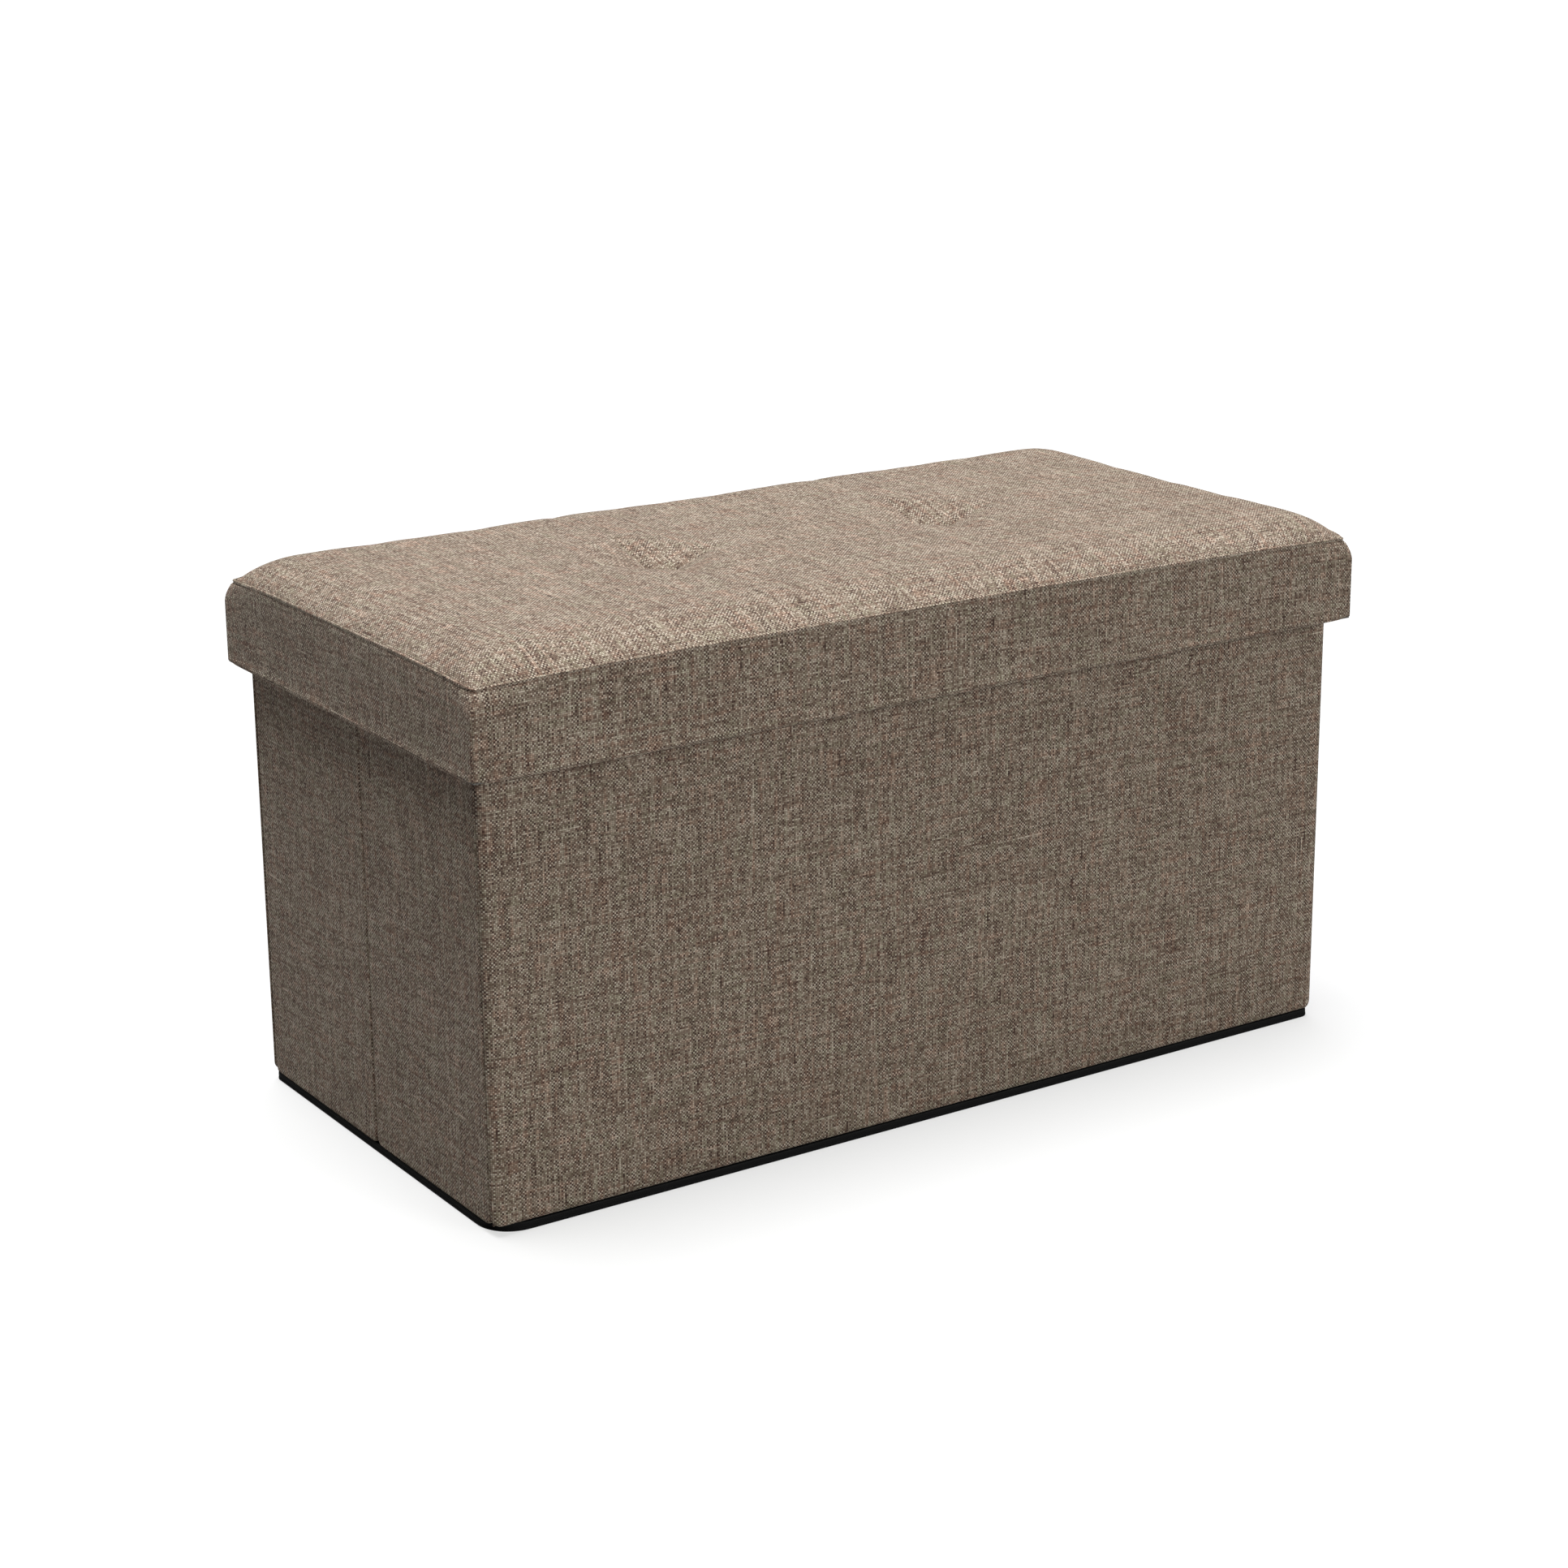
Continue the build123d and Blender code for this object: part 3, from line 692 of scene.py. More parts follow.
# ---------------------------------------------------------------------------
# Insert: a loose hardboard in a sewn black spunbond sleeve. It lies in the
# bottom of the box and keeps the walls square; a ribbon tab lifts it out.
low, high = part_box("insert_cover")
tall = high.z - low.z
sleeve_profile = [(16 * mm, 0)] + [(e * mm, 0) for e in (12, 8, 6.6)] + [
    (6.2 * mm, 0.12 * mm), (5.8 * mm, 0), (3 * mm, 0)] + bend(1.5 * mm, 1.5 * mm, 1.5 * mm, 270, 200, 4) + [
    (0.0, tall / 2 - 0.35 * mm), (0.25 * mm, tall / 2), (0.0, tall / 2 + 0.35 * mm)] + bend(
    1.5 * mm, tall - 1.5 * mm, 1.5 * mm, 160, 90, 4) + [(8 * mm, tall)]
sleeve = panel_skin("insert_sleeve", high.x - low.x, high.y - low.y, 16 * mm, sleeve_profile, 8 * mm,
                    laid_flat(low, high, True), spunbond.material,
                    dent=lambda s, t: 0.10 * mm * (1 + drift(s, t, 55 * mm, 81)), offset=(5, 5))
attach(sleeve, "insert")
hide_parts("insert_cover")

ribbon = Finish("black ribbon", {"Roughness": 0.55, "Specular IOR Level": 0.4, "Sheen Weight": 0.1})
along, across = ribbon.cloth()
rib = ((across * 900.0).math("FRACT") - 0.5).math("ABSOLUTE") * 2
weave_step = ((along * 700.0 + (across * 900.0).math("FLOOR") * 0.5).math("FRACT") - 0.5).math("ABSOLUTE") * 2
# painted light and shade: the colour follows the ribs' relief, lighter on their crests and darker between
# them
ribbon.paint(colour=ribbon.mix(rib * 0.6 + weave_step * 0.3, (0.010, 0.010, 0.011), (0.05, 0.05, 0.053)),
             height=rib + weave_step * 0.5, depth=0.0002)
low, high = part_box("insert_pull_tab")
across_at = np.linspace(low.x, high.x, 13)
selvedges = (0, len(across_at) - 1)
tab_line = [(low.y, 0.42), (low.y + 1 * mm, 0.48), (low.y + 5 * mm, 0.50), (low.y + 12 * mm, 0.50),
            (low.y + 20 * mm, 0.62), (low.y + 30 * mm, 0.72), (low.y + 38 * mm, 0.66),
            (high.y - 1.2 * mm, 0.5), (high.y - 0.2 * mm, 0.42), (high.y, 0.30), (high.y - 0.2 * mm, 0.16),
            (high.y - 2 * mm, 0.12)]
points = [(x_at, y_at, low.z + z_at * (high.z - low.z) * 1.15 - 0.05 * mm * (i in selvedges))
          for y_at, z_at in tab_line for i, x_at in enumerate(across_at)]
tab = piece("insert_ribbon_tab", points, quads(len(tab_line), len(across_at)), ribbon.material,
            [(p[1], p[0]) for p in points], recalculate=False)
thicken(tab, 0.35 * mm)
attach(tab, "insert")
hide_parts("insert_pull_tab")

# ---------------------------------------------------------------------------
# Lid board and skirt stiffeners: the pad sits on a board of sanded fibreboard,
# and a strip of grey millboard stands inside each side of the skirt.
repaint("lid_board", pressed_board("sanded fibreboard", {"Roughness": 0.75, "Specular IOR Level": 0.3},
                                   (1400.0, 4.0, 0.7), (0.3, 0.7), 0.6, 18.0, (0.36, 0.235, 0.125),
                                   (0.56, 0.41, 0.25), 0.00005))
millboard = pressed_board("grey millboard", {"Roughness": 0.9, "Specular IOR Level": 0.2}, (700.0, 5.0, 0.75),
                          (0.35, 0.7), 0.7, 120.0, (0.115, 0.108, 0.098), (0.26, 0.245, 0.225), 0.00008)
for side in ("front", "back", "left", "right"):
    repaint("lid_skirt_board_" + side, millboard)

# ---------------------------------------------------------------------------
# Pad and top cover: a slab of foam, crowned and rounded off to its sides, under
# linen sewn down all round. Two tufts on the middle line draw it into pits with
# four sides, and the cloth creases from each tuft along and across the lid.
low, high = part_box("lid_band_front")[0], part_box("lid_band_back")[1]
lid_x, lid_y = high.x, high.y
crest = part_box("lid_top_cover")[1].z
seam_at, shoulder, foam_foot = 389.3 * mm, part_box("lid_skirt_board_front")[1].z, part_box("lid_foam")[0].z
reach, valley, seam_bow = 48 * mm, 2.3 * mm, 4.2 * mm
tufts, pit, pit_x, pit_y = (-122 * mm, 122 * mm), 18 * mm, 48 * mm, 68 * mm


def seam_inset(share):
    """How far the seam lies inside the skirt, from the middle of a side, 0, to its corner, 1."""
    return (0.7 + 4.0 * np.abs(share) ** 14) * mm


def seam_height(share):
    """Height of the seam: it bows up between the corners, where the pad pushes it."""
    return seam_at + seam_bow * (1 - np.abs(share) ** 5)


def spaced(half, cell, close):
    """Places from -half to half: closer together by the seam, and by the places given in close."""
    by_seam = np.cumsum([0, 0.35, 0.8, 1.3, 1.9, 2.5, 3.2, 3.9, 4.5]) * mm
    rest = half - by_seam[-1]
    even = np.linspace(-rest, rest, round(2 * rest / cell) + 1)
    extra = np.unique([c + d * mm for c in close for d in (-6.8, -4.4, -2.6, -1.2, 0, 1.2, 2.6, 4.4, 6.8)])
    even = [p for p in even if np.abs(p - extra).min() > 2.2 * mm]
    return np.sort(np.concatenate([even, extra, half - by_seam[:-1], by_seam[:-1] - half]))


def crown(x, y, edge_x, edge_y, rise):
    """Height of the pad over the seam before it is tufted, and how deep the tufts draw it."""
    near_x = np.clip((edge_x - np.abs(x)) / reach, 0, 1)
    near_y = np.clip((edge_y - np.abs(y)) / reach, 0, 1)
    top = rise * ((1 - (1 - near_x) ** 2.1) * (1 - (1 - near_y) ** 2.1)) ** 0.60
    top *= 1 - np.exp(-np.minimum(near_x, near_y) * reach / (0.35 * mm))
    drawn = np.zeros_like(x)
    for at in tufts:
        dx, dy = np.abs(x - at), np.abs(y)
        far = dx / pit_x + dy / pit_y
        bowl = pit * np.clip(1 - far, 0, 1) ** 1.2
        crease = 0
        for beside, away, deep, narrow, length in ((dx, dy, 4.4, 1.7, 84), (dy, dx, 4.0, 1.8, 62)):
            crease += (deep * mm * np.exp(-(beside / (narrow * mm + 0.05 * away)) ** 2)
                       * np.clip(1 - away / (length * mm), 0, 1) ** 1.5)
        drawn = np.maximum(drawn, np.minimum(bowl + crease * np.clip(far * 4, 0, 1), pit + 0.4 * mm))
    return top, drawn


def down_the_rings(rings):
    """Faces between closed rings of points that stand one below another."""
    return [(upper[j], under[j], under[(j + 1) % len(upper)], upper[(j + 1) % len(upper)])
            for upper, under in zip(rings, rings[1:]) for j in range(len(upper))]


edge_x, edge_y = lid_x - valley, lid_y - valley
grown = edge_x / (edge_x - seam_inset(0.0))
across_x = spaced(edge_x, 5.2 * mm, [at * grown for at in tufts]) / edge_x
across_y = spaced(edge_y, 5.2 * mm, [0.0]) / edge_y
share_x, share_y = np.meshgrid(across_x, across_y)
pad_x = share_x * (edge_x - seam_inset(share_y))
pad_y = share_y * (edge_y - seam_inset(share_x))
from_level = seam_height(share_x * share_y)
top, drawn = crown(pad_x, pad_y, edge_x - seam_inset(share_y), edge_y - seam_inset(share_x),
                   crest - from_level + 0.5 * mm)
pad_z = from_level - 0.9 * mm + top - drawn
rows, columns = pad_x.shape
top_points = np.column_stack([pad_x.ravel(), pad_y.ravel(), pad_z.ravel()])
index = np.arange(rows * columns).reshape(rows, columns)
around_top = np.concatenate([index[0, :-1], index[:-1, -1], index[-1, :0:-1], index[:0:-1, 0]])
count = len(around_top)
rings = [around_top] + [rows * columns + k * count + np.arange(count) for k in range(3)]
closed_points = np.concatenate([top_points] + [top_points[around_top] * (1, 1, 0) + (0, 0, z) for z in (
    seam_at - 8 * mm, seam_at - 16 * mm, foam_foot)])
faces = quads(rows, columns) + down_the_rings(rings) + [list(rings[-1])]
tuft_near = sum(np.exp(-(((pad_x - at) / (9 * mm)) ** 2 + (pad_y / (9 * mm)) ** 2)) for at in tufts).ravel()


def blown(points, faces, held, cap):
    """The pad's closed skin blown out from inside as cloth: fixed where held is 1, moved by cap at most."""
    mesh = bpy.data.meshes.new("Pad skin")
    mesh.from_pydata(points.tolist(), [], [list(map(int, f)) for f in faces])
    skin = bpy.data.objects.new("Pad skin", mesh)
    bpy.context.collection.objects.link(skin)
    sewn = skin.vertex_groups.new(name="Sewn")
    for v, weight in enumerate(held):
        sewn.add([v], float(weight), "REPLACE")
    cloth = skin.modifiers.new("Cloth", "CLOTH")
    sets = cloth.settings
    sets.quality, sets.mass, sets.shrink_min = 5, 0.2, -0.012
    sets.tension_stiffness = sets.compression_stiffness = 15
    sets.shear_stiffness, sets.bending_stiffness = 6, 0.6
    sets.use_pressure, sets.uniform_pressure_force = True, 4
    sets.vertex_group_mass, sets.effector_weights.gravity = "Sewn", 0
    cloth.collision_settings.use_collision = False
    cloth.point_cache.frame_start, cloth.point_cache.frame_end = 1, 20
    for moment in range(1, 21):
        bpy.context.scene.frame_set(moment)
    shaped = skin.evaluated_get(bpy.context.evaluated_depsgraph_get()).data
    moved = np.empty(len(points) * 3, np.float32)
    shaped.vertices.foreach_get("co", moved)
    bpy.data.objects.remove(skin)
    bpy.context.scene.frame_set(1)
    shift = moved.reshape(-1, 3) - points
    length = np.linalg.norm(shift, axis=1, keepdims=True)
    return points + shift * np.tanh(length / cap) * cap / np.maximum(length, 1e-9)


held = np.concatenate([np.clip(tuft_near * 1.2, 0, 1), np.ones(3 * count)])
held[around_top] = 1
puffed = blown(closed_points, faces, held, 1.6 * mm)
shift = (puffed - closed_points)[:rows * columns].reshape(rows, columns, 3)
for _ in range(8):
    shift[1:-1, 1:-1] = (4 * shift[1:-1, 1:-1] + shift[:-2, 1:-1] + shift[2:, 1:-1] + shift[1:-1, :-2]
                         + shift[1:-1, 2:]) / 8
closed_points[:rows * columns] += shift.reshape(-1, 3)
top_points = closed_points[:rows * columns].copy()

# the cloth also pulls in straight lines from the sewn corners, and is a little uneven
for cx in (-1, 1):
    for cy in (-1, 1):
        dx, dy = edge_x - cx * top_points[:, 0], edge_y - cy * top_points[:, 1]
        away, turn = np.hypot(dx, dy), np.degrees(np.arctan2(dy, dx))
        for angle, wide, deep, far in ((47, 4.5, 0.55, 70), (31, 3.6, 0.40, 95), (63, 3.8, 0.36, 60),
                                       (17, 3.0, 0.22, 80)):
            top_points[:, 2] -= (deep * mm * np.exp(-((turn - angle - 4 * cx * cy) / wide) ** 2)
                                 * np.exp(-away / (far * mm)) * np.clip(away / (14 * mm), 0, 1))
x, y = top_points[:, 0], top_points[:, 1]
fall = np.clip(np.minimum(edge_x - np.abs(x), edge_y - np.abs(y)) / (20 * mm), 0, 1)
top_points[:, 2] += 0.22 * mm * fall * (drift(x, y, 55 * mm, 91) + 0.4 * drift(x, y, 23 * mm, 92) - 1.2)

# below the seam the cover has a short edge, turned in and sewn to the band
turned_edge = [top_points[around_top] * (1 - 0.5 * mm / lid_x, 1 - 0.5 * mm / lid_y, 1) - (0, 0, z * mm)
               for z in (0.1, 1.3)]
along_x, along_y = (
    np.concatenate([[0], np.cumsum(np.hypot(np.diff(flat), np.diff(height)))]) for flat, height in (
        (pad_x[rows // 2], pad_z[rows // 8]), (pad_y[:, columns // 2], pad_z[:, columns // 2])))
weave = np.column_stack([np.tile(along_x, rows), np.repeat(along_y, columns)])
weave = np.concatenate([weave, weave[around_top], weave[around_top]]) + (6.0, 1.0)
weave[len(top_points):] += np.repeat([[0.0, -1.0 * mm], [0.0, -2.2 * mm]], count, axis=0)
top_cover = piece("top_cover_linen", np.concatenate([top_points] + turned_edge),
                  quads(rows, columns) + down_the_rings(rings[:3]), linen.material, weave, recalculate=False)
finer = top_cover.modifiers.new("Finer", "SUBSURF")
finer.levels = finer.render_levels = 1
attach(top_cover, "lid")
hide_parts("lid_top_cover")

foam = Finish("upholstery foam", {"Roughness": 0.95, "Specular IOR Level": 0.2})
pores = foam.node("ShaderNodeTexVoronoi", {"feature": "F1"}, {"Vector": foam.solid(), "Scale": 900.0})
yellowing = foam.noise(foam.solid(), 14.0, 3.0)
# painted shade: the foam is darker down in its pores, where shade falls, with slow yellowing over it
foam.paint(colour=foam.mix(pores.between(0.05, 0.55) * 0.7 + yellowing * 0.3, (0.50, 0.44, 0.27),
                           (0.78, 0.73, 0.58)), height=pores, depth=0.0004)
foam_points = closed_points.copy()
foam_points[:rows * columns] = top_points
foam_points[:, 2] -= np.where(foam_points[:, 2] > seam_at - 7 * mm, 1.3 * mm, 0)
foam_points[:, :2] *= (1 - 1.2 * mm / lid_x, 1 - 1.2 * mm / lid_y)
pad = piece("foam_pad", foam_points, faces, foam.material)
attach(pad, "lid")
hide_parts("lid_foam")

# ---------------------------------------------------------------------------
# Band: four lengths of linen, joined by upright seams at the corners. Each is
# sewn to the top cover in a raised seam, goes down over the stiffener, turns
# under it at a soft edge, comes up inside and is stapled under the lid board.
low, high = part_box("lid_band_front")
foot, flange = low.z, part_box("lid_staples")[1].z
skirt_thick, edge_radius, groove_deep, cell = 5 * mm, 2.35 * mm, 0.9 * mm, 5 * mm
lid_sides = {  # side: (half its length, how far out it is, and how along and out turn into X and Y)
    "front": (lid_x, lid_y, lambda s, o: (s, -o)), "right": (lid_y, lid_x, lambda s, o: (o, s)),
    "back": (lid_x, lid_y, lambda s, o: (-s, o)), "left": (lid_y, lid_x, lambda s, o: (-o, -s))}
seam_line = [  # (inset, height over the seam, corner radius) of the raised seam and its groove, in mm
    (3.0, -1.9, 3.0), (2.35, -0.9, 3.2), (1.9, -0.1, 3.3), (1.45, 0.45, 3.4), (0.95, 0.68, 3.5),
    (0.45, 0.6, 3.6), (0.05, 0.3, 3.7), (-0.15, -0.2, 3.8), (-0.2, -0.7, 3.8), (0.0, -1.1, 3.8),
    (0.35, -1.35, 3.6), (0.25, -1.85, 3.6)]
bands = {}
for number, (side, (half_long, half_deep, turn_to)) in enumerate(lid_sides.items()):
    seed = 101 + 10 * number
    count_long = round(2 * half_long / cell)
    straight = np.linspace(-1, 1, count_long + 1)
    shares = np.concatenate([np.full(5, -1.0), straight[1:-1], np.full(5, 1.0)])
    turns = np.radians(np.concatenate([[45, 45, 33, 18, 0], np.zeros(count_long - 1), [0, 18, 33, 45, 45]]))
    groove = np.zeros(len(shares))
    groove[[0, -1]], groove[[1, -2]] = groove_deep, 0.1 * groove_deep
    inset_of, along = seam_inset(shares), shares * half_long
    wander = drift(along, 0, 90 * mm, seed) + 0.5 * drift(along, 0, 31 * mm, seed + 1)
    mid = 1 - np.abs(shares) ** 8
    lean = 1.8 - 0.2 * np.abs(shares) ** 12
    at_end = np.exp(-(1 - np.abs(shares)) * half_long / (3.5 * mm))
    seam_z = seam_height(shares)
    section = [(inset_of + e * mm, seam_z + z * mm * (1 - 0.7 * at_end * (z > 0)), r * mm)
               for e, z, r in seam_line]
    for u in (0.85, 0.7, 0.55, 0.4, 0.27, 0.16, 0.08, 0.03):
        section.append((inset_of * u ** lean, shoulder + (seam_z - 1.6 * mm - shoulder) * u, 2.6 * mm))
    for u in (0, 0.1, 0.2, 0.3, 0.4, 0.5, 0.6, 0.7, 0.8, 0.88, 0.93, 0.97, 1):
        z = shoulder - (shoulder - foot - 2.4 * mm) * u
        soft = 0.12 * mm * (1 + drift(along, z, 60 * mm, seed + 2)) * (0.15 + u * (1.3 - u)) * mid
        soft = soft - 1.1 * mm * max(0.0, (u - 0.88) / 0.12) ** 1.5 * (1 - at_end)
        section.append((soft + 0.02 * mm, np.full(len(shares), z), 2.0 * mm))
    rise_end = 0.2 * mm * (1 - mid) + 2.2 * mm * at_end
    sag = rise_end + 0.16 * mm * (1 + wander * mid)
    for e, z in (bend(1.9 * mm, edge_radius, edge_radius, 189, 270, 5)
                 + bend(2.65 * mm, edge_radius, edge_radius, 275, 360, 5)):
        section.append((e + 0.5 * mm * at_end * (e < 1 * mm), foot + z + sag,
                        2.0 * mm if e < 2 * mm else 1.2 * mm))
    for u in (0.2, 0.5, 0.8, 0.95):
        section.append((skirt_thick + 0.1 * mm * (1 + drift(along, 50 * u, 40 * mm, seed + 3)) * mid,
                        foot + 2.4 * mm + (flange - foot - 4 * mm) * u * np.ones(len(shares)), 0.6 * mm))
    for e, z in ((5.1, -0.5), (5.5, -0.08), (7.0, 0.0), (12.0, 0.0), (20.0, 0.0)):
        section.append((np.full(len(shares), e * mm), np.full(len(shares), flange + z * mm), 0.5 * mm))
    points, weave, gone = [], [], np.zeros(len(shares))
    for k, (e, z, r) in enumerate(section):
        at_long = shares * (half_long - e - r - groove) + np.sign(shares) * r * np.sin(turns)
        out = half_deep - e - r + r * np.cos(turns) - groove
        if k:
            gone = gone + np.hypot(e - section[k - 1][0], z - section[k - 1][1])
        px, py = turn_to(at_long, out)
        points.append(np.column_stack([px, py, z]))
        weave.append(np.column_stack([at_long, -gone]))
    band = piece(f"band_{side}_linen", np.concatenate(points), quads(len(section), len(shares)),
                 linen.material, np.concatenate(weave) + (8 + number, 0.4 * number), recalculate=False)
    band.data.flip_normals()
    thicken(band, 0.6 * mm, -1)
    bands[side] = (band, float(gone.mean()), half_long)
    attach(band, "lid")
    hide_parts("lid_band_" + side)

# ---------------------------------------------------------------------------
# Top stitching: the thread of the raised seam shows as a row of short stitches
# in the groove under it, about 3.6 mm apart, once round the lid.
twine = Finish("taupe thread", {"Roughness": 0.6, "Specular IOR Level": 0.35, "Sheen Weight": 0.1})
ply = twine.noise(twine.solid(), 1500.0, 2.0)
twine.paint(colour=twine.mix(ply.between(0.3, 0.7), (0.26, 0.215, 0.170), (0.56, 0.49, 0.405)), height=ply,
            depth=0.0001)


def in_a_row(name, line, facing_out, shape, pitch, uneven, seed, material, closed):
    """Copies of a shape along a line at a pitch, each lying along it with its top facing out, as one mesh."""
    mesh = bpy.data.meshes.new(name)
    ends = [(k, (k + 1) % len(line)) for k in range(len(line) if closed else len(line) - 1)]
    mesh.from_pydata(np.asarray(line).tolist(), ends, [])
    mesh.attributes.new("Out", "FLOAT_VECTOR", "POINT").data.foreach_set("vector", np.ravel(facing_out))
    carrier = bpy.data.objects.new(name + "_line", mesh)
    bpy.context.collection.objects.link(carrier)
    tree = bpy.data.node_groups.new(name, "GeometryNodeTree")
    face = tree.interface
    face.new_socket("Geometry", in_out="INPUT", socket_type="NodeSocketGeometry")
    for label, kind in (("Shape", "Object"), ("Pitch", "Float"), ("Uneven", "Float"), ("Seed", "Int"),
                        ("Finish", "Material")):
        face.new_socket(label, in_out="INPUT", socket_type="NodeSocket" + kind)
    face.new_socket("Geometry", in_out="OUTPUT", socket_type="NodeSocketGeometry")
    start = tree.nodes.new("NodeGroupInput").outputs

    def add(kind, sockets, output=0, **settings):
        """A node of that kind: its settings first, then its sockets' links or values."""
        made = tree.nodes.new(kind)
        for label, value in settings.items():
            setattr(made, label, value)
        for label, value in sockets.items():
            if isinstance(value, bpy.types.NodeSocket):
                tree.links.new(value, made.inputs[label])
            else:
                made.inputs[label].default_value = value
        return made.outputs[output]

    curve = add("GeometryNodeMeshToCurve", {"Mesh": start["Geometry"]})
    even = add("GeometryNodeResampleCurve", {"Curve": curve, "Length": start["Pitch"]}, mode="LENGTH")
    out = add("GeometryNodeInputNamedAttribute", {"Name": "Out"}, data_type="FLOAT_VECTOR")
    along_it = add("GeometryNodeInputTangent", {})
    lying = add("FunctionNodeAlignRotationToVector", {"Vector": along_it}, axis="X")
    turned_out = add("FunctionNodeAlignRotationToVector", {"Rotation": lying, "Vector": out}, axis="Z",
                     pivot_axis="X")
    less, more = (add("ShaderNodeMath", {0: 1.0, 1: start["Uneven"]}, operation=way)
                  for way in ("SUBTRACT", "ADD"))
    wobble = add("FunctionNodeRandomValue", {"Min": less, "Max": more, "Seed": start["Seed"]},
                 data_type="FLOAT_VECTOR")
    one = add("GeometryNodeObjectInfo", {"Object": start["Shape"]}, output="Geometry")
    copies = add("GeometryNodeInstanceOnPoints",
                 {"Points": even, "Instance": one, "Rotation": turned_out, "Scale": wobble})
    real = add("GeometryNodeRealizeInstances", {0: copies})
    painted = add("GeometryNodeSetMaterial", {"Geometry": real, "Material": start["Finish"]})
    tree.links.new(painted, tree.nodes.new("NodeGroupOutput").inputs[0])
    maker = carrier.modifiers.new("Row", "NODES")
    maker.node_group = tree
    given = {"Shape": shape, "Pitch": pitch, "Uneven": uneven, "Seed": seed, "Finish": material}
    for socket in face.items_tree:
        if socket.in_out == "INPUT" and socket.name in given:
            maker[socket.identifier] = given[socket.name]
    made = bpy.data.meshes.new_from_object(carrier.evaluated_get(bpy.context.evaluated_depsgraph_get()))
    row = bpy.data.objects.new(name, made)
    bpy.context.collection.objects.link(row)
    bpy.data.objects.remove(carrier)
    made.shade_smooth()
    return row


def rod(name, line, radius, sides):
    """A round wire or thread of that radius along a short line of points, as a loose shape to copy."""
    line = np.asarray(line, float)
    points, faces = [], []
    for k, at in enumerate(line):
        way = line[min(k + 1, len(line) - 1)] - line[max(k - 1, 0)]
        way /= np.linalg.norm(way)
        side = np.cross(way, (0, 1, 0)) if abs(way[1]) < 0.9 else np.cross(way, (1, 0, 0))
        side /= np.linalg.norm(side)
        other = np.cross(way, side)
        wide = radius[k] if np.ndim(radius) else radius
        for t in np.linspace(0, 2 * math.pi, sides, endpoint=False):
            points.append(at + wide * (math.cos(t) * side + math.sin(t) * other))
    faces = quads(len(line), sides, closed=True)
    faces += [list(range(sides))[::-1], [(len(line) - 1) * sides + k for k in range(sides)]]
    mesh = bpy.data.meshes.new(name)
    mesh.from_pydata([tuple(p) for p in points], [], faces)
    work = bmesh.new()
    work.from_mesh(mesh)
    bmesh.ops.recalc_face_normals(work, faces=work.faces)
    work.to_mesh(mesh)
    work.free()
    return bpy.data.objects.new(name, mesh)


stitch_pitch = 3.6 * mm
stitch = rod("Stitch", [(x * mm, 0, z * mm) for x, z in ((-1.35, -0.25), (-0.8, 0.05), (0, 0.14), (0.8, 0.05),
                                                         (1.35, -0.25))],
             np.array([0.12, 0.24, 0.27, 0.24, 0.12]) * mm, 5)
line, out = [], []
for half_long, half_deep, turn_to in lid_sides.values():
    for share in np.linspace(-1, 1, 81)[1:-1]:
        inset = float(seam_inset(share)) + 0.22 * mm
        line.append((*turn_to(share * (half_long - inset - 3.6 * mm), half_deep - inset),
                     float(seam_height(share)) - 1.35 * mm))
        out.append((*turn_to(0, 0.9), 0.35))
stitches = in_a_row("seam_stitches", line, out, stitch, stitch_pitch, 0.10, 7, twine.material, closed=True)
bpy.data.objects.remove(stitch)
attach(stitches, "lid")
for band, wide, half_long in bands.values():
    2 * half_long

# ---------------------------------------------------------------------------
# Staples: galvanised wire staples hold the band's turned-under edge to the lid
# board, one every 62 mm along all four sides.
def clouded(name, constants, clouds, dark, light, least, more):
    """A finish whose colour and roughness drift together with one noise."""
    made = Finish(name, constants)
    cloud = made.noise(made.solid(), *clouds)
    made.paint(colour=made.mix(cloud, dark, light), rough=least + cloud * more)
    return made


def one_piece(name, parts, finish):
    """Loose shapes joined into one smooth piece."""
    joined = bmesh.new()
    for part in parts:
        joined.from_mesh(part.data)
        bpy.data.objects.remove(part)
    mesh = bpy.data.meshes.new(name)
    joined.to_mesh(mesh)
    joined.free()
    mesh.shade_smooth()
    mesh.materials.append(finish.material)
    made = bpy.data.objects.new(name, mesh)
    bpy.context.collection.objects.link(made)
    return made


wire = clouded("galvanised wire", {"Metallic": 1.0}, (900.0, 3.0), (0.42, 0.42, 0.44), (0.66, 0.66, 0.68),
               0.28, 0.25)
low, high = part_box("lid_staples")
staple_pitch, from_corner, from_edge, wire_radius = 62 * mm, 50 * mm, 12.5 * mm, 0.3 * mm
pin = rod("Staple", [(x * mm, 0, z * mm) for x, z in (
    (-5, -1.4), (-5, -0.5), (-4.8, -0.15), (-4.4, 0), (0, 0.02), (4.4, 0), (4.8, -0.15), (5, -0.5),
    (5, -1.4))], wire_radius, 8)
rows_of = []
for side, (half_long, half_deep, turn_to) in lid_sides.items():
    inside = half_long - skirt_thick
    first = -inside + from_corner
    last = first + (2 * inside - 2 * from_corner) // staple_pitch * staple_pitch + 0.01 * mm
    ends = [(*turn_to(s, half_deep - from_edge), low.z + wire_radius) for s in (first, last)]
    rows_of.append(in_a_row("Staples " + side, ends, [(0, 0, -1)] * 2, pin, staple_pitch, 0.0, 3,
                            wire.material, closed=False))
bpy.data.objects.remove(pin)
staples = one_piece("flange_staples", rows_of, wire)
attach(staples, "lid")
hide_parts("lid_staples")

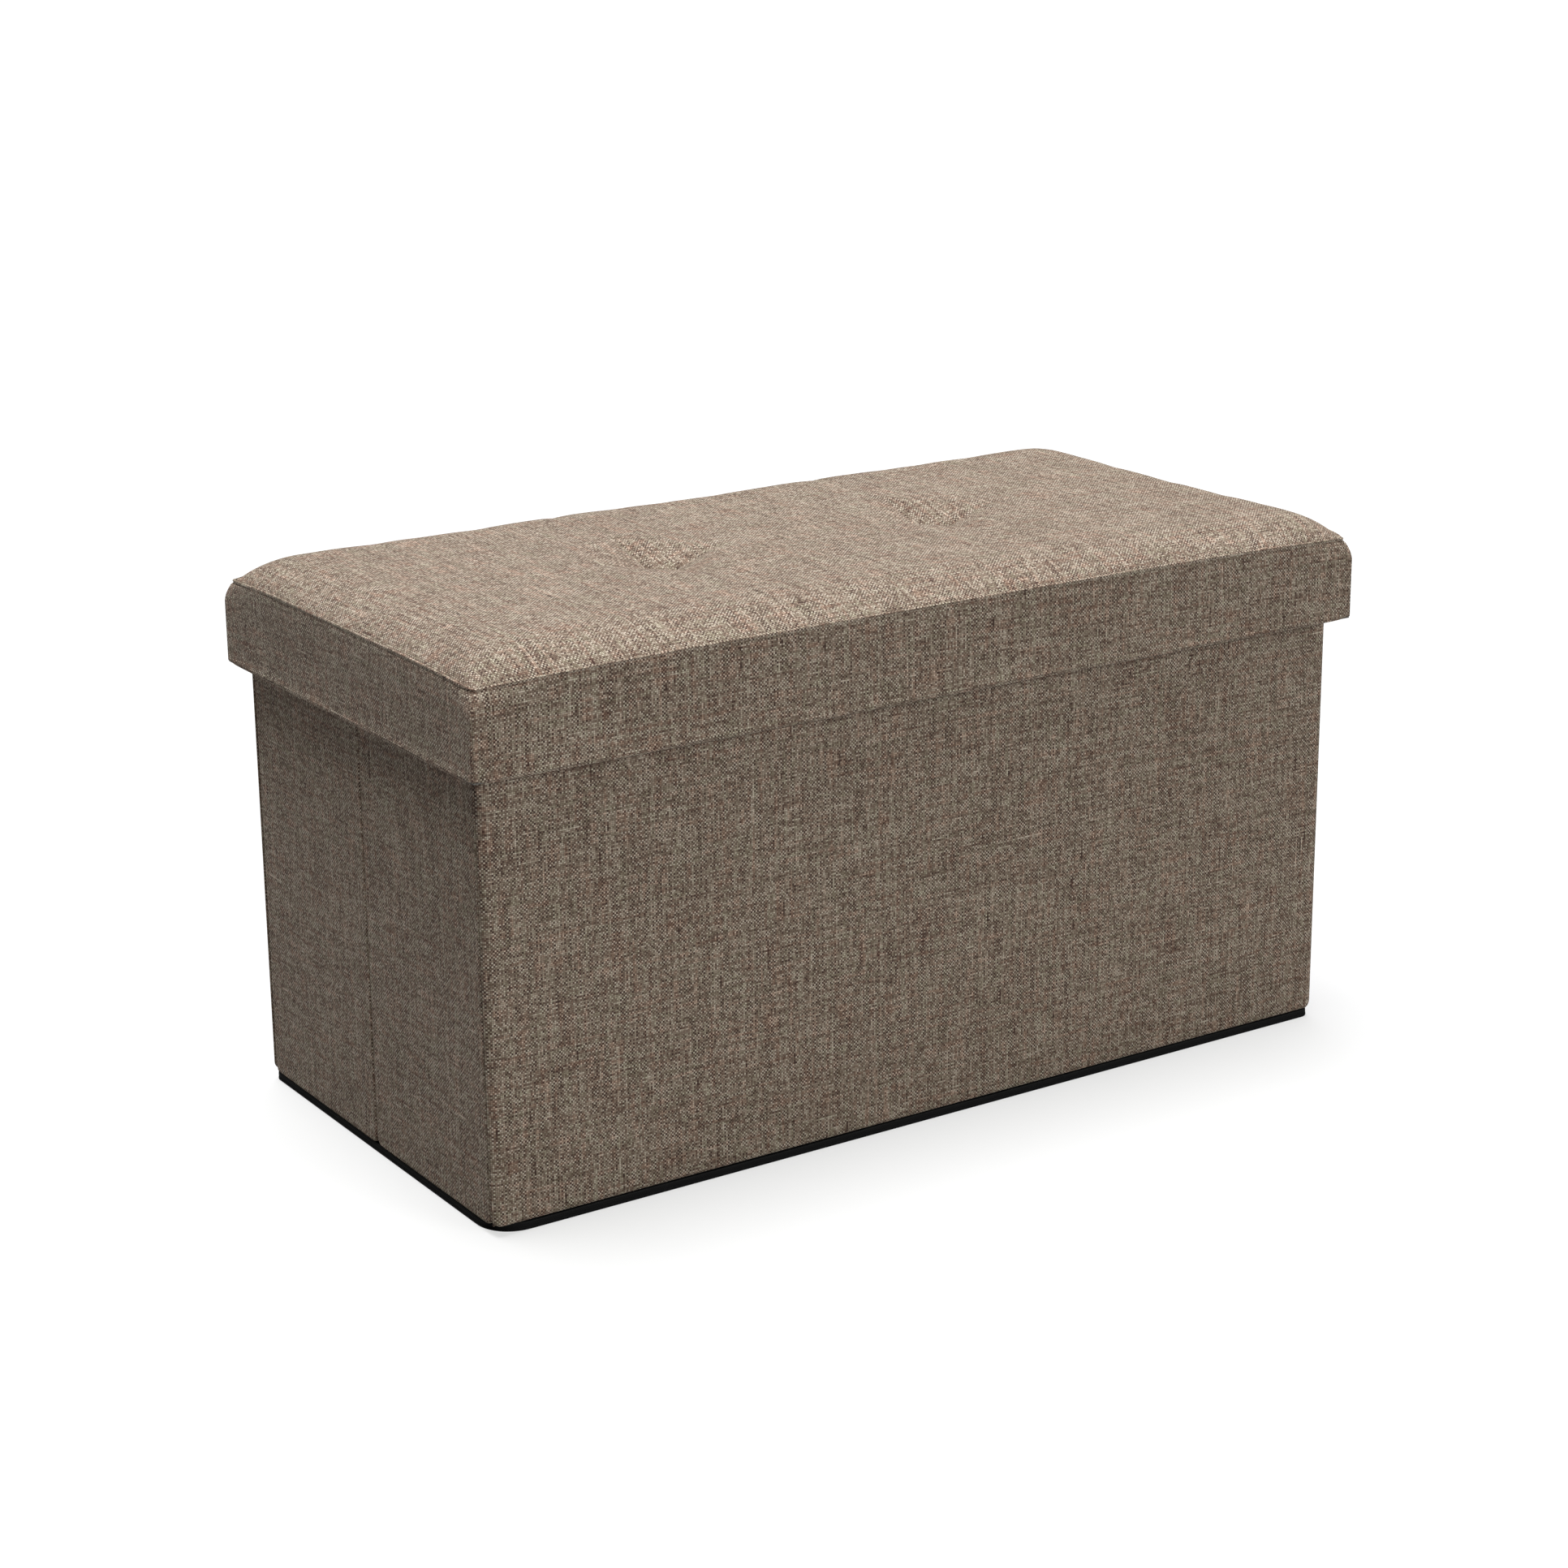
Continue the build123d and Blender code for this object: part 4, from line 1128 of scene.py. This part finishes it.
# ---------------------------------------------------------------------------
# Lid lining: black spunbond cloth glued under the lid board inside the skirt,
# over the staples and the edge of the band.
low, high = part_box("lid_lining")
thin = high.z - low.z
lining = panel_skin("lid_black_lining", high.x - low.x, high.y - low.y, 9 * mm,
                    [(9 * mm, 0), (2 * mm, 0), (0.4 * mm, 0.1 * mm), (0, thin / 2),
                     (0.4 * mm, thin - 0.1 * mm), (9 * mm, thin)], 7 * mm, laid_flat(low, high, False),
                    spunbond.material,
                    dent=lambda s, t: 0.15 * mm * (1 + drift(s, t, 48 * mm, 61)), offset=(7, 7))
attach(lining, "lid")
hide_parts("lid_lining")

# ---------------------------------------------------------------------------
# Tufts: doubled waxed twine goes from a small stitch at the bottom of each pit
# through the foam and the board to a nylon disc, and is knotted over it.
waxed = clouded("waxed twine", {"Roughness": 0.42, "Specular IOR Level": 0.5}, (1800.0, 2.0),
                (0.10, 0.078, 0.058), (0.27, 0.22, 0.17), 0.35, 0.25)
low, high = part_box("lid_tuft_threads")
ply_radius, ply_out, lay, over_disc = 0.5 * mm, 0.48 * mm, 5 * mm, 1.2 * mm
twine_top, pit_floor = crest - pit - 1.0 * mm, crest - pit + 0.35 * mm
turns, knot_turn = np.linspace(0, 1, 150), np.linspace(0, 3 * 2 * math.pi, 90)
knot_out = (1.25 + 0.35 * np.cos(knot_turn * 2 / 3)) * mm
knot_up = low.z + 1.7 * mm + 0.8 * mm * np.sin(knot_turn * 2 / 3)
cords = []
for at in tufts:
    for ply in (0, math.pi):
        angle = ply + turns * (twine_top - low.z) / lay * 2 * math.pi
        cords.append(rod("Ply", np.column_stack([
            at + ply_out * np.cos(angle), ply_out * np.sin(angle),
            low.z + over_disc + turns * (twine_top - low.z - over_disc)]), ply_radius, 6))
    cords.append(rod("Knot", np.column_stack([at + knot_out * np.cos(knot_turn), knot_out * np.sin(knot_turn),
                                              knot_up]), ply_radius, 6))
    cords.append(rod("Loop", [(at + x * mm, y * mm, pit_floor + z * mm) for x, y, z in (
        (-2.0, 0.2, -1.6), (-1.7, 0.15, -0.3), (-0.8, 0, 0.15), (0.8, 0, 0.15), (1.7, -0.15, -0.3),
        (2.0, -0.2, -1.6))], 0.42 * mm, 8))
threads = one_piece("tuft_twine", cords, waxed)
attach(threads, "lid")
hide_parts("lid_tuft_threads")
repaint("lid_tuft_anchors", clouded("natural nylon", {"Roughness": 0.4, "Specular IOR Level": 0.5},
                                    (300.0, 3.0), (0.62, 0.61, 0.56), (0.74, 0.73, 0.69), 0.32, 0.2))
